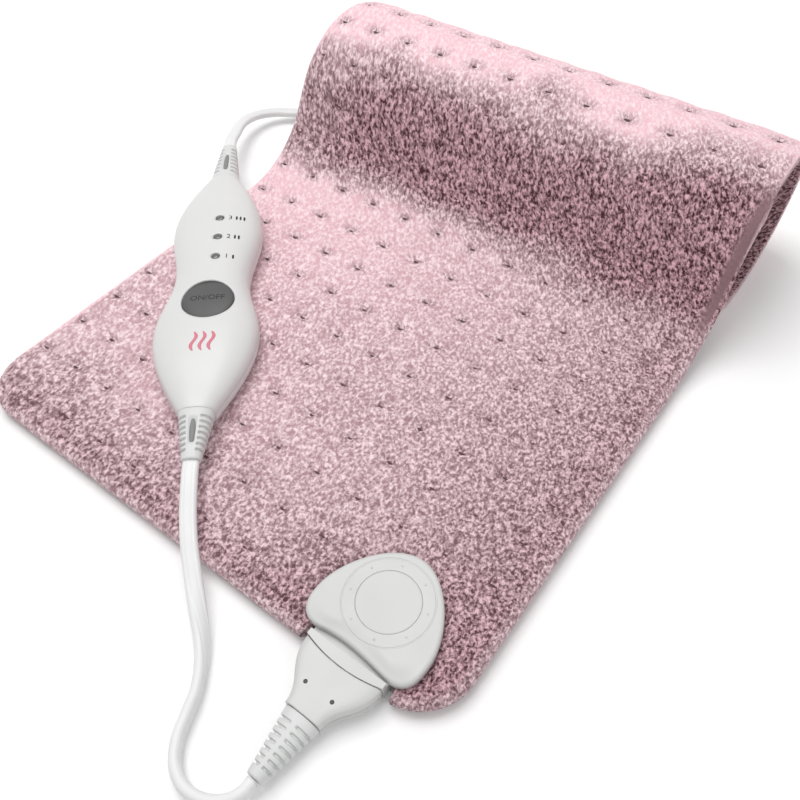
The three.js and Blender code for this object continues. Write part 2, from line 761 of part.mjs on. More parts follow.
function contactSleeve(x) {
  const bore = PIN_RADIUS + GAP;
  const y0 = FRONT_Y + SLEEVE_ROOT;
  const y1 = y0 + SLEEVE_LENGTH;
  return rod(bore + SLEEVE_WALL, x, PIN_Z, y0, y1).subtract(rod(bore, x, PIN_Z, y0 - PAST, y1 + PAST));
}

function connectorTongue() {
  let made = tongueBlock(0, -TONGUE_ROOT, POCKET_DEPTH - GAP);
  const bore = PIN_RADIUS + SLEEVE_WALL + 2 * GAP;
  for (const x of pinPlaces()) {
    const root = FRONT_Y + SLEEVE_ROOT - GAP;
    made = made.subtract(rod(bore, x, PIN_Z, root, FRONT_Y + POCKET_DEPTH + PAST));
  }
  return made;
}

// The connector's plan narrows in a hollow curve from the lip to the cord
function connectorPlan(bevel) {
  const wide = CONNECTOR_BACK_HALF - bevel;
  const neck = CONNECTOR_NECK_HALF - bevel;
  const end = -CONNECTOR_LENGTH + bevel;
  const back = LIP_BULGE / 2;
  const shape = new THREE.Shape();
  shape.moveTo(wide, back);
  shape.lineTo(-wide, back);
  shape.bezierCurveTo(-wide, -CONNECTOR_FLARE, -neck, -CONNECTOR_WAIST, -neck, end);
  shape.lineTo(neck, end);
  shape.bezierCurveTo(neck, -CONNECTOR_WAIST, wide, -CONNECTOR_FLARE, wide, back);
  return shape;
}

function connectorBody() {
  const geometry = new THREE.ExtrudeGeometry(connectorPlan(CONNECTOR_BEVEL), {
    depth: CONNECTOR_TOP - CONNECTOR_BOTTOM - 2 * CONNECTOR_BEVEL,
    bevelSize: CONNECTOR_BEVEL,
    bevelThickness: CONNECTOR_BEVEL,
    bevelSegments: 3,
    curveSegments: 8,
  });
  const neck = loft(reliefNeckRings(CONNECTOR_NECK, GAP, -CONNECTOR_NECK_DEPTH - GAP, PAST));
  neck.rotateZ(Math.PI).translate(SOCKET_X, FRONT_Y - CONNECTOR_LENGTH, CONNECTOR_Z);
  return solid(geometry.translate(SOCKET_X, FRONT_Y, CONNECTOR_BOTTOM + CONNECTOR_BEVEL))
    .subtract(socketLip(GAP, -CONNECTOR_TOP, 2 * CONNECTOR_TOP))
    .subtract(tongueBlock(GAP, -TONGUE_ROOT - GAP, POCKET_DEPTH))
    .subtract(outward(neck));
}

function connectorHalf(z0, z1) {
  const reach = CONNECTOR_BACK_HALF + CONNECTOR_LENGTH;
  return connectorBody().intersect(
    block(SOCKET_X - reach, SOCKET_X + reach, FRONT_Y - 2 * reach, FRONT_Y + reach, z0, z1),
  );
}

function connectorTop() {
  let made = connectorHalf(CONNECTOR_Z + GAP / 2, CONNECTOR_TOP + PAST);
  const y = FRONT_Y - DIMPLE_REACH;
  for (const side of [-1, 1]) {
    const x = SOCKET_X + (side * DIMPLE_SPACING) / 2;
    made = made.subtract(post(DIMPLE_RADIUS, x, y, CONNECTOR_TOP - DIMPLE_DEPTH, CONNECTOR_TOP + PAST));
  }
  return made;
}

// An oval ring across Y, with a part of its points drawn in
function ovalRing(x, z, y, drawnIn = () => 0) {
  return Array.from({ length: RELIEF_SIDES }, (_, side) => {
    const angle = (2 * Math.PI * side) / RELIEF_SIDES;
    const inwards = drawnIn(side);
    return new THREE.Vector3((x - inwards) * Math.cos(angle), y, (z - inwards) * Math.sin(angle));
  });
}

function reliefNeckRings(size, margin, from, to) {
  return [from, to].map((y) => ovalRing(size.x + margin, size.z + margin, y));
}

// A strain relief's tapered boot: ribs down both flanks, and a slot along its upper and lower sides
function bootRings(root, tip, length, ribs) {
  const upright = (side) => side % (RELIEF_SIDES / 2) === RELIEF_SIDES / 4;
  const flank = (side) => (upright(side) ? 0 : RIB_DEPTH);
  const slot = (side) => (upright(side) ? SLOT_DEPTH : 0);
  const collar = length / (ribs + 2);
  const at = (share, drawnIn) =>
    ovalRing(root.x + (tip.x - root.x) * share, root.z + (tip.z - root.z) * share, share * length, drawnIn);
  const rings = [at(0), at(collar / (2 * length))];
  for (let rib = 0; rib < ribs; rib += 1) {
    const start = (collar * (rib + 1)) / length;
    rings.push(at(start, flank), at(start + collar / (2 * length), slot));
  }
  rings.push(at(1 - collar / (2 * length)), at(1));
  return rings;
}

// Rings moved off the wall that they stand on
function raised(rings) {
  return rings.map((ring) => ring.map((point) => point.setY(point.y + GAP)));
}

// The whole relief along +Y: held flange, neck through the wall and ribbed boot
function caseRelief(length) {
  const neckEnd = END_WALL + GAP;
  const rings = [
    ovalRing(RELIEF_FLANGE.x, RELIEF_FLANGE.z, -neckEnd - RELIEF_FLANGE_THICK),
    ovalRing(RELIEF_FLANGE.x, RELIEF_FLANGE.z, -neckEnd),
    ovalRing(RELIEF_NECK.x, RELIEF_NECK.z, -neckEnd),
    ovalRing(RELIEF_NECK.x, RELIEF_NECK.z, GAP),
    ...raised(bootRings(RELIEF_ROOT, RELIEF_TIP, length, RELIEF_RIBS)),
  ];
  return loft(rings);
}

function connectorRelief() {
  const rings = [
    ...reliefNeckRings(CONNECTOR_NECK, 0, -CONNECTOR_NECK_DEPTH, GAP),
    ...raised(bootRings(CONNECTOR_RELIEF_ROOT, CONNECTOR_RELIEF_TIP, CONNECTOR_RELIEF_LENGTH, RELIEF_RIBS)),
  ];
  return outward(
    loft(rings).rotateZ(Math.PI).translate(SOCKET_X, FRONT_Y - CONNECTOR_LENGTH, CONNECTOR_Z),
  );
}

// The case's outline: two lobes and a waist, eased down to a nose at each end
function caseHalfWidth(y) {
  const ease = (from, to) => (1 - Math.cos((Math.PI * (y - from)) / (to - from))) / 2;
  if (y > TOP_LOBE_Y) return NOSE_HALF + (TOP_LOBE_HALF - NOSE_HALF) * lobeShare(y);
  if (y < LOW_LOBE_Y) return NOSE_HALF + (LOW_LOBE_HALF - NOSE_HALF) * lobeShare(y);
  if (y > WAIST_Y) return WAIST_HALF + (TOP_LOBE_HALF - WAIST_HALF) * ease(WAIST_Y, TOP_LOBE_Y);
  return WAIST_HALF + (LOW_LOBE_HALF - WAIST_HALF) * ease(WAIST_Y, LOW_LOBE_Y);
}

// One over the body between the lobes, falling to nothing at the noses
function lobeShare(y) {
  if (y > TOP_LOBE_Y) return Math.cos((Math.PI / 2) * ((y - TOP_LOBE_Y) / (CASE_TOP - TOP_LOBE_Y)));
  if (y < LOW_LOBE_Y) return Math.cos((Math.PI / 2) * ((y - LOW_LOBE_Y) / (CASE_BOTTOM - LOW_LOBE_Y)));
  return 1;
}

const crownRise = (y) => NOSE_RISE + (CROWN_RISE - NOSE_RISE) * lobeShare(y);
const baseDepth = (y) => NOSE_RISE + (BASE_DEPTH - NOSE_RISE) * lobeShare(y);

// Half of the case as a solid: arched sections on the parting plane
function halfCase(up) {
  return archedSolid(up, 0, CASE_BOTTOM, CASE_TOP, GAP / 2, OUTER_STEPS);
}

// The hollow of that half, which opens through the parting plane
function halfHollow(up) {
  return archedSolid(up, CASE_WALL, CASE_BOTTOM + END_WALL, CASE_TOP - END_WALL, -CASE_WALL, HOLLOW_STEPS);
}

function archedSolid(up, wall, from, to, parting, steps) {
  const power = up ? CROWN_POWER : BASE_POWER;
  const facing = up ? 1 : -1;
  const rings = [];
  for (let station = 0; station <= steps.along; station += 1) {
    const y = from + ((to - from) * station) / steps.along;
    const half = caseHalfWidth(y) - wall;
    const rise = (up ? crownRise(y) : baseDepth(y)) - wall - parting;
    const ring = [];
    for (let step = 0; step <= steps.round; step += 1) {
      const angle = (Math.PI * step) / steps.round;
      const across = Math.sign(Math.cos(angle)) * Math.abs(Math.cos(angle)) ** (2 / power);
      const height = Math.max(0, Math.sin(angle)) ** (2 / power);
      ring.push(new THREE.Vector3(half * across, y, facing * (parting + rise * height)));
    }
    rings.push(ring);
  }
  return outward(loft(rings));
}

const SCREW_PLACES = [CASE_BOTTOM + SCREW_INSET_LOW, CASE_TOP - SCREW_INSET_TOP];
const LENS_PLACES = [0, 1, 2].map((step) => LENS_FIRST_Y + step * LENS_PITCH);

// Bores through both end walls for the reliefs' necks
function reliefBores(body) {
  let made = body;
  for (const [end, side] of [[CASE_TOP, 1], [CASE_BOTTOM, -1]]) {
    const bore = loft(reliefNeckRings(RELIEF_NECK, GAP, -END_WALL - PAST, PAST));
    made = made.subtract(outward(bore.rotateZ(side > 0 ? 0 : Math.PI).translate(0, end, 0)));
  }
  return made;
}

function caseTop() {
  const outer = halfCase(true);
  let made = outer.subtract(halfHollow(true));
  const hole = SCREW_SHANK + GAP;
  for (const y of SCREW_PLACES) {
    made = made.add(post(hole + SCREW_POST_WALL, 0, y, 0, CROWN_RISE).intersect(outer));
    made = made.subtract(post(hole, 0, y, -PAST, SCREW_REACH + GAP));
  }
  const well = BUTTON_RADIUS + RUNNING_FIT;
  made = made.subtract(post(well, BUTTON_X, BUTTON_Y, FLANGE_TOP, 2 * CROWN_RISE, BUTTON_SIDES));
  for (const y of LENS_PLACES) {
    made = made.subtract(post(LENS_RADIUS + GAP, LENS_X, y, 0, 2 * CROWN_RISE));
  }
  return reliefBores(made);
}

function caseBase() {
  const outer = halfCase(false);
  let made = outer.subtract(halfHollow(false));
  for (const x of [-POST_X, POST_X]) {
    for (const y of [BOARD_FRONT + POST_INSET, BOARD_BACK - POST_INSET]) {
      made = made.add(post(POST_RADIUS, x, y, -BASE_DEPTH, BOARD_UNDER - GAP).intersect(outer));
    }
  }
  const bore = SCREW_HEAD + GAP;
  for (const y of SCREW_PLACES) {
    made = made.add(post(bore + HEAD_POST_WALL, 0, y, -BASE_DEPTH, -GAP).intersect(outer));
    made = made.subtract(post(bore, 0, y, -2 * BASE_DEPTH, SCREW_SEAT));
    made = made.subtract(post(SCREW_SHANK + GAP, 0, y, SCREW_SEAT - PAST, PAST));
  }
  return reliefBores(made);
}

function caseScrew(y) {
  const under = SCREW_SEAT - GAP;
  return post(SCREW_HEAD, 0, y, under - SCREW_HEAD_THICK, under)
    .add(post(SCREW_SHANK, 0, y, under - SCREW_HEAD_THICK / 2, SCREW_REACH));
}

// The button: a crowned cap with a retaining flange and a stem over the switch
function powerButton() {
  const flange = BUTTON_RADIUS + BUTTON_FLANGE;
  const under = FLANGE_TOP - FLANGE_THICK;
  const stemEnd = switchTop() + PLUNGER_RISE + GAP;
  const profile = [
    new THREE.Vector2(0, stemEnd),
    new THREE.Vector2(STEM_RADIUS, stemEnd),
    new THREE.Vector2(STEM_RADIUS, under),
    new THREE.Vector2(flange, under),
    new THREE.Vector2(flange, FLANGE_TOP),
    new THREE.Vector2(BUTTON_RADIUS, FLANGE_TOP),
    ...domeProfile(BUTTON_RADIUS, BUTTON_RIM, BUTTON_CROWN - BUTTON_RIM, BUTTON_STEPS),
  ];
  return lathed(profile, BUTTON_SIDES, BUTTON_X, BUTTON_Y);
}

const switchTop = () => BOARD_TOP + GAP + SWITCH_HEIGHT;

function switchBody() {
  const size = { x: SWITCH_SIZE, y: SWITCH_SIZE, z: SWITCH_HEIGHT };
  const well = switchTop() - PLUNGER_SUNK - BUTTON_TRAVEL - 2 * GAP;
  return onBoard(BUTTON_X, BUTTON_Y, size)
    .subtract(post(PLUNGER_RADIUS + GAP, BUTTON_X, BUTTON_Y, well, switchTop() + PAST));
}

function switchPlunger() {
  const [under, top] = [switchTop() - PLUNGER_SUNK, switchTop() + PLUNGER_RISE];
  return post(PLUNGER_RADIUS, BUTTON_X, BUTTON_Y, under, top);
}

function circuitBoard() {
  return block(-BOARD_HALF, BOARD_HALF, BOARD_FRONT, BOARD_BACK, BOARD_UNDER, BOARD_TOP);
}

// A part that stands on the board
function onBoard(x, y, size) {
  const z = BOARD_TOP + GAP;
  return block(x - size.x / 2, x + size.x / 2, y - size.y / 2, y + size.y / 2, z, z + size.z);
}

function boardFuse() {
  const { x, inset, radius, length } = FUSE;
  const y = BOARD_BACK - inset;
  return rod(radius, x, BOARD_TOP + GAP + radius, y - length / 2, y + length / 2);
}

function indicatorLens(y) {
  const under = BOARD_TOP + 2 * GAP + LED_SIZE.z;
  const profile = [
    new THREE.Vector2(0, under),
    new THREE.Vector2(LENS_RADIUS, under),
    ...domeProfile(LENS_RADIUS, LENS_TOP - LENS_DOME, LENS_DOME, LENS_STEPS),
  ];
  return lathed(profile, SMALL_SIDES, LENS_X, y);
}

// A flat cord through its points, turned from lying flat to standing on edge
function cordRings(points, flatness, sides) {
  return points.map((point, index) => {
    const before = points[Math.max(index - 1, 0)];
    const after = points[Math.min(index + 1, points.length - 1)];
    const along = after.clone().sub(before).normalize();
    const level = new THREE.Vector3(along.y, -along.x, 0).normalize();
    const over = level.clone().cross(along);
    const turn = flatness(index / (points.length - 1));
    const wide = level.clone().multiplyScalar(Math.cos(turn)).addScaledVector(over, Math.sin(turn));
    const thin = over.clone().multiplyScalar(Math.cos(turn)).addScaledVector(level, -Math.sin(turn));
    return cordSection(sides).map(([across, upwards]) =>
      point.clone().addScaledVector(wide, across).addScaledVector(thin, upwards),
    );
  });
}

// A flattened polygon that fills the cord's width and thickness
function cordSection(sides) {
  const first = sides % 4 === 0 ? 0.5 : 0;
  const angles = Array.from({ length: sides }, (_, side) => (2 * Math.PI * (side + first)) / sides);
  const widest = Math.max(...angles.map(Math.cos));
  const tallest = Math.max(...angles.map(Math.sin));
  return angles.map((angle) => [
    ((CORD_WIDE / 2) * Math.cos(angle)) / widest,
    ((CORD_THICK / 2) * Math.sin(angle)) / tallest,
  ]);
}

// Turns flat to on edge between two shares of the way
function twist(from, to) {
  return (share) => (Math.PI / 2) * THREE.MathUtils.smoothstep(share, from, to);
}

function cordTube(route, steps, flatness) {
  const points = route.map(([x, y, z]) => new THREE.Vector3(x, y, z));
  const curve = new THREE.CatmullRomCurve3(points, false, 'centripetal');
  return outward(loft(cordRings(curve.getSpacedPoints(steps), flatness, CORD_SIDES)));
}

// The hank's middle line: two loops in, a climb along the front run, two loops out
function hankPoints() {
  const quarter = LOOP_STEPS / 4;
  const steps = 2 * HANK_TURNS * LOOP_STEPS + quarter;
  const reversal = HANK_TURNS * LOOP_STEPS;
  const inner = HANK_OUTER - HANK_TURNS * HANK_STEP;
  return Array.from({ length: steps + 1 }, (_, step) => {
    const climb = THREE.MathUtils.clamp((step - reversal) / (CLIMB_SHARE * quarter), 0, 1);
    const reach = inner + (HANK_STEP * Math.abs(step - reversal)) / LOOP_STEPS;
    const z = CORD_BED + HANK_LAYER * climb;
    const side = Math.floor((step % LOOP_STEPS) / quarter);
    const share = (step % quarter) / quarter;
    const straight = HANK_RUN * (share - 0.5);
    const waist = HANK_DRAWN_IN * Math.sin(Math.PI * share) ** 2;
    const angle = Math.PI * share;
    const local = [
      [straight, -reach + waist],
      [HANK_RUN / 2 + reach * Math.sin(angle), -reach * Math.cos(angle)],
      [-straight, reach - waist],
      [-HANK_RUN / 2 - reach * Math.sin(angle), reach * Math.cos(angle)],
    ][side];
    return new THREE.Vector3(HANK_X + local[0], FRONT_Y + HANK_Y + local[1], z);
  });
}

function mainsHank() {
  const points = hankPoints();
  const first = points[0].clone().setX(points[0].x - CORD_WIDE);
  const last = points.at(-1).clone().setX(points.at(-1).x + CORD_WIDE);
  const onEdge = () => Math.PI / 2;
  const whole = [first, ...points, last];
  console.log(`least gap in the hank ${leastGap(whole).toFixed(2)} mm`);
  return outward(loft(cordRings(whole, onEdge, HANK_SIDES)));
}

// The least gap between turns that lie side by side or one over the other
function leastGap(points) {
  let least = Infinity;
  const curve = new THREE.CatmullRomCurve3(points, false, 'centripetal');
  const fine = curve.getSpacedPoints(GAP_SAMPLES * points.length);
  const apart = (GAP_SAMPLES * LOOP_STEPS) / 2;
  for (let a = 0; a < fine.length; a += 1) {
    for (let b = a + apart; b < fine.length; b += 1) {
      const level = Math.hypot(fine[a].x - fine[b].x, fine[a].y - fine[b].y) - CORD_THICK;
      const upright = Math.abs(fine[a].z - fine[b].z) - CORD_WIDE;
      least = Math.min(least, Math.max(level, upright));
    }
  }
  return least;
}

// A band round the hank's waist, where the last run stands furthest out
function hankTie() {
  const half = HANK_OUTER + HANK_STEP / 8 - HANK_DRAWN_IN + CORD_THICK / 2 + TIE_SLACK;
  const low = CORD_BED - CORD_WIDE / 2 - GAP;
  const high = CORD_BED + HANK_LAYER + CORD_WIDE / 2 + GAP;
  const band = (grow) => {
    const shape = new THREE.Shape();
    const [x0, x1, z0, z1] = [-half - grow, half + grow, low - grow, high + grow];
    const round = TIE_CORNER + grow;
    shape.moveTo(x0 + round, z0);
    shape.lineTo(x1 - round, z0);
    shape.absarc(x1 - round, z0 + round, round, -Math.PI / 2, 0);
    shape.absarc(x1 - round, z1 - round, round, 0, Math.PI / 2);
    shape.absarc(x0 + round, z1 - round, round, Math.PI / 2, Math.PI);
    shape.absarc(x0 + round, z0 + round, round, Math.PI, 1.5 * Math.PI);
    return shape;
  };
  const outline = band(TIE_THICK);
  outline.holes.push(band(0));
  const geometry = new THREE.ExtrudeGeometry(outline, {
    depth: TIE_WIDE,
    bevelEnabled: false,
    curveSegments: 4,
  });
  geometry.rotateX(Math.PI / 2).rotateZ(Math.PI / 2);
  return outward(geometry.translate(HANK_X - TIE_WIDE / 2, FRONT_Y + HANK_Y, 0));
}

// The plug lies along +X, in its own frame with the cord at its origin
function plugBody() {
  const [neck, half] = [PLUG_NECK / 2 - PLUG_BEVEL, PLUG_WIDE / 2 - PLUG_BEVEL];
  const shape = new THREE.Shape();
  shape.moveTo(PLUG_BEVEL, -neck);
  shape.bezierCurveTo(PLUG_WAIST, -neck, PLUG_WAIST, -half, PLUG_SHOULDER, -half);
  shape.lineTo(PLUG_LENGTH - PLUG_BEVEL, -half);
  shape.lineTo(PLUG_LENGTH - PLUG_BEVEL, half);
  shape.lineTo(PLUG_SHOULDER, half);
  shape.bezierCurveTo(PLUG_WAIST, half, PLUG_WAIST, neck, PLUG_BEVEL, neck);
  shape.closePath();
  const geometry = new THREE.ExtrudeGeometry(shape, {
    depth: PLUG_TALL - 2 * PLUG_BEVEL,
    bevelSize: PLUG_BEVEL,
    bevelThickness: PLUG_BEVEL,
    bevelSegments: 2,
    curveSegments: 6,
  });
  let made = solid(geometry.translate(0, 0, PLUG_BEVEL - PLUG_TALL / 2));
  for (const side of [-1, 1]) {
    made = made.subtract(bladeBlock(side, GAP, PLUG_LENGTH - BLADE_ROOT - GAP));
  }
  return made;
}

function bladeBlock(side, margin, from) {
  const y = (side * BLADE_SPACING) / 2;
  const [thin, wide] = [BLADE_THICK / 2 + margin, BLADE_WIDE / 2 + margin];
  return block(from, PLUG_LENGTH + BLADE_LENGTH, y - thin, y + thin, -wide, wide);
}

function plugRelief() {
  const rings = bootRings(PLUG_RELIEF_ROOT, PLUG_RELIEF_TIP, PLUG_RELIEF_LENGTH, PLUG_RIBS);
  return outward(loft(rings).rotateZ(Math.PI / 2).translate(-GAP, 0, 0));
}

// Cord routes, chosen by hand: x, y, z
const PAD_LEAD_ROUTE = [
  [-12.4, -76.3, 21],
  [-6.7, -83, 20.3],
  [3.8, -94.6, 18],
  [15, -105.4, 15.8],
  [27, -115.4, 12.6],
  [38.5, -124.6, 9.2],
  [48, -132.4, 6.2],
  [55.5, -140.2, 5],
  [61.5, -149, 4.6],
  [65.6, -158.4, 4.6],
  [69.6, -167.2, 4.6],
  [76, -174.4, 4.6],
  [85, -177.8, 5],
  [94.4, -176.4, 5.8],
  [101.4, -171.6, 6.6],
  [104.6, -166.2, 7],
  [105, -160.4, 7],
];
const MAINS_ROUTE = [
  [-181, 121.9, 21],
  [-186.6, 128.4, 20.5],
  [-194, 140, 18.6],
  [-201.6, 152, 16],
  [-206.4, 165, 12.8],
  [-206.6, 178.4, 9.6],
  [-201, 190, 7.2],
  [-191.4, 198.6, 5.8],
  [-181.6, 207, 5.4],
  [-174.4, 217.6, 5.4],
  [-169.6, 229.8, 5.5],
  [-164.4, 243, 5.8],
  [-156, 256.6, 5.8],
  [-144.4, 266.6, 5.8],
  [-131, 273.2, 5.8],
  [-118, 276.2, 5.8],
  [-108, 276.7, 5.8],
  [-100.8, 276.7, 5.8],
];
const TAIL_ROUTE = [
  [10.8, 274.7, 14.4],
  [17, 274.7, 14.2],
  [27, 274.9, 12.8],
  [37, 275.8, 10.5],
  [46, 276.8, 9],
  [53, 277, 8.6],
  [58, 277, 8.6],
];
const PLUG_AT = { x: 58.6, y: 277, z: 8.6 };

// Assembly
const part = new THREE.Group();

function add(group, name, body, finish) {
  const mesh = new THREE.Mesh(geometryOf(body), new THREE.MeshStandardMaterial(finish));
  mesh.name = name;
  group.add(mesh);
}

const room = socketRoom();
add(part, 'pad_top_cover', topCover().subtract(room), PLUSH);
add(part, 'pad_bottom_cover', bottomCover().subtract(room), PLUSH);
add(part, 'upper_felt', felt(FELT_INNER, FELT_OUTER).subtract(room), FELT);
add(part, 'lower_felt', felt(-FELT_OUTER, -FELT_INNER).subtract(room), FELT);
add(part, 'heating_wire', heatingWire(), SILICONE);
add(part, 'thermal_cutout', thermalCutout(), BLACK_PLASTIC);

add(part, 'socket_top', socketTop(), WHITE_PLASTIC);
add(part, 'socket_boss', socketBoss(), WHITE_PLASTIC);
add(part, 'socket_base', socketSlab(0, 0, SOCKET_BASE), WHITE_PLASTIC);
add(part, 'socket_receptacle', receptacle(), WHITE_PLASTIC);
pinPlaces().forEach((x, index) => {
  add(part, `socket_pin_${index + 1}`, contactPin(x), BRASS);
  add(part, `connector_sleeve_${index + 1}`, contactSleeve(x), BRASS);
});
add(part, 'connector_tongue', connectorTongue(), GREY_PLASTIC);
add(part, 'connector_top', connectorTop(), WHITE_PLASTIC);
add(part, 'connector_bottom', connectorHalf(CONNECTOR_BOTTOM - PAST, CONNECTOR_Z - GAP / 2), WHITE_PLASTIC);
add(part, 'connector_relief', connectorRelief(), PALE_RUBBER);

const controller = new THREE.Group();
controller.position.set(CASE_X, FRONT_Y + CASE_Y, CASE_Z);
controller.rotation.z = THREE.MathUtils.degToRad(CASE_TURN);
part.add(controller);
add(controller, 'controller_top', caseTop(), WHITE_PLASTIC);
add(controller, 'controller_base', caseBase(), WHITE_PLASTIC);
add(controller, 'power_button', powerButton(), GREY_PLASTIC);
add(controller, 'switch_plunger', switchPlunger(), BLACK_PLASTIC);
add(controller, 'switch_body', switchBody(), BLACK_PLASTIC);
add(controller, 'circuit_board', circuitBoard(), BOARD_GREEN);
LENS_PLACES.forEach((y, index) => {
  add(controller, `indicator_lens_${index + 1}`, indicatorLens(y), SMOKED_LENS);
  add(controller, `led_${index + 1}`, onBoard(LENS_X, y, LED_SIZE), SILICONE);
});
add(controller, 'triac', onBoard(TRIAC.x, SUPPLY_Y, TRIAC.size), BLACK_PLASTIC);
add(controller, 'film_capacitor', onBoard(CAPACITOR.x, SUPPLY_Y, CAPACITOR.size), GREY_PLASTIC);
add(controller, 'fuse', boardFuse(), BRASS);
add(controller, 'control_chip', onBoard(CHIP.x, CHIP.y, CHIP.size), BLACK_PLASTIC);
SCREW_PLACES.forEach((y, index) => add(controller, `case_screw_${index + 1}`, caseScrew(y), STEEL));
const mainsRelief = caseRelief(MAINS_RELIEF_LENGTH).translate(0, CASE_TOP, 0);
add(controller, 'mains_relief', outward(mainsRelief), PALE_RUBBER);
const leadRelief = caseRelief(LEAD_RELIEF_LENGTH).rotateZ(Math.PI).translate(0, CASE_BOTTOM, 0);
add(controller, 'lead_relief', outward(leadRelief), PALE_RUBBER);

add(part, 'pad_lead', cordTube(PAD_LEAD_ROUTE, 28, twist(0.3, 0.62)), CORD_VINYL);
add(part, 'mains_lead', cordTube(MAINS_ROUTE, 36, twist(0.5, 0.85)), CORD_VINYL);
add(part, 'mains_hank', mainsHank(), CORD_VINYL);
add(part, 'hank_tie', hankTie(), BLACK_PLASTIC);
add(part, 'mains_tail', cordTube(TAIL_ROUTE, 8, () => Math.PI / 2), CORD_VINYL);

const plug = new THREE.Group();
plug.position.set(PLUG_AT.x + PLUG_RELIEF_LENGTH + GAP, PLUG_AT.y, PLUG_AT.z);
part.add(plug);
add(plug, 'plug_body', plugBody(), CORD_VINYL);
add(plug, 'plug_relief', plugRelief(), CORD_VINYL);
[-1, 1].forEach((side, index) => {
  add(plug, `plug_blade_${index + 1}`, bladeBlock(side, 0, PLUG_LENGTH - BLADE_ROOT), BRASS);
});

export default part;
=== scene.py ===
"""Heating pad with a wired controller: the finished looks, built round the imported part."""

import math

import bmesh
import bpy
import numpy as np
from bpy.props import FloatProperty, FloatVectorProperty, PointerProperty
from mathutils import Matrix, Vector


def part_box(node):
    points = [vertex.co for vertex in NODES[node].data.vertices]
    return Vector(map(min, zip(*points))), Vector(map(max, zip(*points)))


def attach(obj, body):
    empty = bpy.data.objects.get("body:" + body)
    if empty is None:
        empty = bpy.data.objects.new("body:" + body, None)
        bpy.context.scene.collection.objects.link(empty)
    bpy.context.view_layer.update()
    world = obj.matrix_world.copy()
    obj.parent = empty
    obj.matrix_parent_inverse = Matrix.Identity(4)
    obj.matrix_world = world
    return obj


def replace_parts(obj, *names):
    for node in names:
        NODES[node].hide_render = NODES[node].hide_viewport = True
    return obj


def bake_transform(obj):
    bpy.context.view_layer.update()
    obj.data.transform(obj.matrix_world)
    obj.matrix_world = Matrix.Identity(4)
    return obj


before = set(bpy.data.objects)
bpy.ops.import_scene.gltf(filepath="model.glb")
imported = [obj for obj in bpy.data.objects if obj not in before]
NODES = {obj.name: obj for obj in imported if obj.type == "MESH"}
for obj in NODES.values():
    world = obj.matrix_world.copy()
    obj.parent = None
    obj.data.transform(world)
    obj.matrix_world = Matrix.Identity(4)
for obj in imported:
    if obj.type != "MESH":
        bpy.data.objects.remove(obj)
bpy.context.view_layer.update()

bl_info = {
    "name": "Heating pad with controller",
    "version": (1, 0, 0),
    "blender": (4, 5, 0),
    "location": "3D View > Sidebar > Heating pad",
    "description": "Dresses the packed heating pad: plush, moulded shells, cords, print and stage",
    "category": "Object",
}

# Sizes in millimetres: those of the solids, which the dressed pieces follow, and of the details on them

# The pad's sheet, the bends that roll it, its tufts and the notch round the socket
FRONT_Y = -106.5
PAD_WIDTH, PAD_LENGTH, PAD_CORNER, PAD_HALF = 305.0, 610.0, 28.0, 5.5
SEAM_HALF, EDGE_TAPER, EDGE_ROUND = 2.2, 16.0, 1.2
BEND_RUNS = np.array([213, 74, 20, 66, 59, 34, 46, 39, 19, 40.0])
BEND_TURNS = np.radians([0, 62, -8, -68, -97, -49, -35, -108, -13, -87.0])
ROLL_FOOT, ROLL_CREST = 243.0, 305.0
NARROW_FROM, NARROW_RUN, NARROW_SHARE = 262.0, 60.0, 0.018
TUFT_FIRST, TUFT_COUNT = (-143.4, 15.8), (12, 23)
# TUFT_SHADE: radii across and along of the painted shade round each tuft
TUFT_CORE, TUFT_SKIRT, TUFT_SHADE = 2.4, 7.0, (4.2, 2.4)
THREAD_HALF, THREAD_RADIUS, THREAD_DIP = 3.8, 0.85, 0.7
NOTCH_HALF, NOTCH_DEPTH, NOTCH_EASE, NOTCH_FADE = 23.4, 34.3, 2.6, 90.0
CLAMPED_TOP, CLAMPED_BOTTOM = 3.6, 3.4  # off the mid-plane, where the socket's plates press the plush
SEWN_FROM, SEWN_TO, SEWN_FADE, SEWN_BAND = 246.0, 322.0, 22.0, (1.4, 9.0)  # smooth edge at the roll's end, whose darker mauve is partly painted shade, and painted shade in the gap beside it

# The socket, measured from the pad's front edge, and the connector
SOCKET_X, SOCKET_TOP, SOCKET_SKIRT = 105.0, 15.0, 9.7
SOCKET_FRONT, SOCKET_BACK, SOCKET_HALF, SOCKET_NOSE = 5.4, 57.0, 30.0, 18.0
SOCKET_ROUND, SOCKET_DIP = 1.6, 1.3
BOSS_Y, BOSS_RADIUS, BOSS_WELL = 32.0, 14.5, 1.6
RING_RADIUS, PIP_REACH, PIP_COUNT, PIP_TURN = 20.5, 17.6, 8, 0.3
CONNECTOR_Z, CONNECTOR_RISE, CONNECTOR_BACK, CONNECTOR_RUN = 7.0, 5.85, 1.5, 25.0
CONNECTOR_HALF, CONNECTOR_NECK, CONNECTOR_LIP = 20.0, 9.0, 3.3
DIMPLE_SPACING, DIMPLE_REACH, DIMPLE_RADIUS = 14.0, 14.5, 0.95

